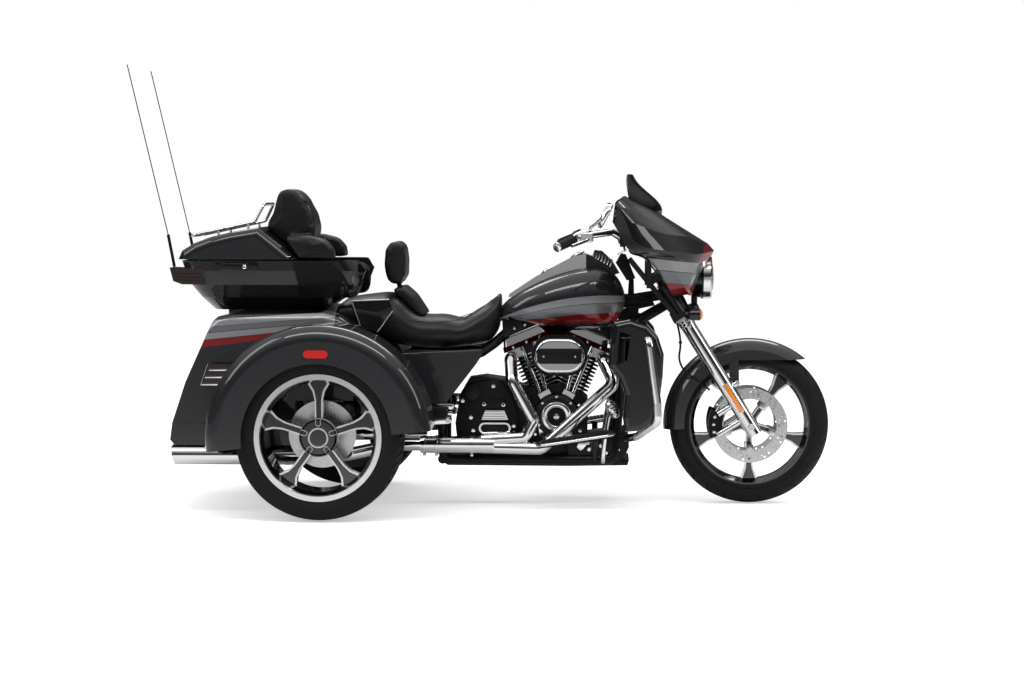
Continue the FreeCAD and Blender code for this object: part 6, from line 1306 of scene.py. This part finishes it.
def settleCushion(piece, cap):
    # air pressure swells the cover for twenty frames, and no point moves further than the cap
    start = [vert.co.copy() for vert in piece.data.vertices]
    cloth = piece.modifiers.new("cloth", "CLOTH")
    cloth.settings.use_pressure = True
    cloth.settings.uniform_pressure_force = 4
    cloth.settings.effector_weights.gravity = 0
    cloth.settings.quality = 4
    cloth.point_cache.frame_start = 1
    cloth.point_cache.frame_end = 20
    for number in range(1, 21):
        scene.frame_set(number)
    swollen = piece.evaluated_get(bpy.context.evaluated_depsgraph_get())
    moved = [vert.co.copy() for vert in swollen.data.vertices]
    piece.modifiers.remove(cloth)
    scene.frame_set(1)
    for vert, old, new in zip(piece.data.vertices, start, moved):
        step = new - old
        vert.co = old + step * min(1.0, cap / step.length if step.length else 1.0)


def bakeModifiers(piece):
    bpy.context.view_layer.update()
    held = bpy.data.meshes.new_from_object(piece.evaluated_get(bpy.context.evaluated_depsgraph_get()))
    piece.modifiers.clear()
    old = piece.data
    piece.data = held
    bpy.data.meshes.remove(old)


def makeSeams(name, settings, mesh):
    # welts that lie on the cushion's flanks, where a level ray from outside meets it
    tree = BVHTree.FromPolygons([vert.co for vert in mesh.vertices],
                                [face.vertices for face in mesh.polygons])
    for number, (points, radius) in enumerate(settings["seams"]):
        for side, label in ((-1, "Right"), (1, "Left")):
            line = []
            for start, end in zip(points, points[1:]):
                for share in (0, 0.2, 0.4, 0.6, 0.8):
                    x, z = between([start], [end], share)[0]
                    hit = tree.ray_cast(spot(x, side * 700, z), Vector((0, -side, 0)))[0]
                    if hit:
                        line.append(hit)
            if len(line) > 3:
                tubeAlong(name + "Welt" + str(number + 1) + label, line, radius, leather, settings["body"])


def makeCushion(name, settings):
    shape = bmesh.new()
    shape.from_mesh(nodes[settings["node"]].data)
    bmesh.ops.remove_doubles(shape, verts=shape.verts, dist=weldReach)
    bmesh.ops.recalc_face_normals(shape, faces=shape.faces)
    shape.normal_update()
    for vert in shape.verts:
        vert.co -= vert.normal * settings["shrink"]
    mesh = bpy.data.meshes.new(name)
    shape.to_mesh(mesh)
    shape.free()
    piece = addObject(name, mesh)
    remesh = piece.modifiers.new("voxels", "REMESH")
    remesh.mode = "VOXEL"
    remesh.voxel_size = settings["voxel"]
    bakeModifiers(piece)
    soft = bmesh.new()
    soft.from_mesh(piece.data)
    for step in range(settings["relax"]):
        bmesh.ops.smooth_vert(soft, verts=soft.verts, factor=0.5, use_axis_x=True, use_axis_y=True,
                              use_axis_z=True)
    soft.to_mesh(piece.data)
    soft.free()
    settleCushion(piece, settings["cap"])
    finer = piece.modifiers.new("finer", "SUBSURF")
    finer.levels = finer.render_levels = 1
    bakeModifiers(piece)
    coverMesh(piece.data, leather)
    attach(piece, settings["body"])
    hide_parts(settings["node"])
    makeSeams(name, settings, piece.data)


for name, settings in softSet.items():
    makeCushion(name, settings)

print("hubs, pegs and cover edges")
hubSet = {"places": {"rear_wheel_right": (0, -620, 322), "rear_wheel_left": (0, 620, 322)},
          "ring": [(39, -1), (39, 1.2), (37, 2), (34, 2), (32, 1.2), (32, -1)],
          "slot": [(72, -9), (50, -9), (45, -5), (45, 5), (50, 9), (72, 9)]}


def makeHubs(settings):
    for body, (x, y, z) in settings["places"].items():
        shape = bmesh.new()
        addTurned(shape, spot(x, y, z), (0, math.copysign(1, y), 0), settings["ring"], 64, True)
        for index in range(5):
            out = rayAt(math.pi / 2 + math.tau * index / 5)
            across = Vector((-out.z, 0, out.x))
            line = [spot(x, y, z) + out * reach / 1000 + across * shift / 1000
                    for reach, shift in settings["slot"]]
            for start, end in zip(line, line[1:]):
                addRod(shape, start, end - start, 0.0013, None, 8)
        finishPiece(body + "Hub", shape, discSteel, body)


makeHubs(hubSet)

pegSet = {"plates": ((roundedPoints(432, 406, 124, 22, 10), 186, 246, 6, 3),
                     (roundedPoints(436, 379, 108, 13, 6), 186, 238, 4, 2),
                     (roundedPoints(430, 347, 104, 28, 13, 6, 3), 178, 208, 3, 2)),
          "caps": ((394, 345), (466, 349)), "cap": [(10, -1), (10, 3), (8, 5), (5, 5), (4, 2), (0, 2)],
          "edge": ((281, 609), (597, 626))}


def makePegs(settings):
    # the passenger's pegs, and the rolled upper edge of each side cover
    shape, edges = bmesh.new(), bmesh.new()
    for plate in settings["plates"]:
        addPlatePair(shape, *plate)
    for side in (-1, 1):
        for x, z in settings["caps"]:
            addTurned(shape, spot(x, side * 207.6, z), (0, side, 0), settings["cap"], 24)
        addBlock(shape, spot(424, side * 176, 372), (0.060, 0.060, 0.030), 0.004)
        start, end = [spot(x, side * 197, z) for x, z in settings["edge"]]
        addRod(edges, start, end - start, 0.005, None, 20)
    finishPiece("passengerPegs", shape, chrome)
    finishPiece("coverEdges", edges, charcoal)


makePegs(pegSet)
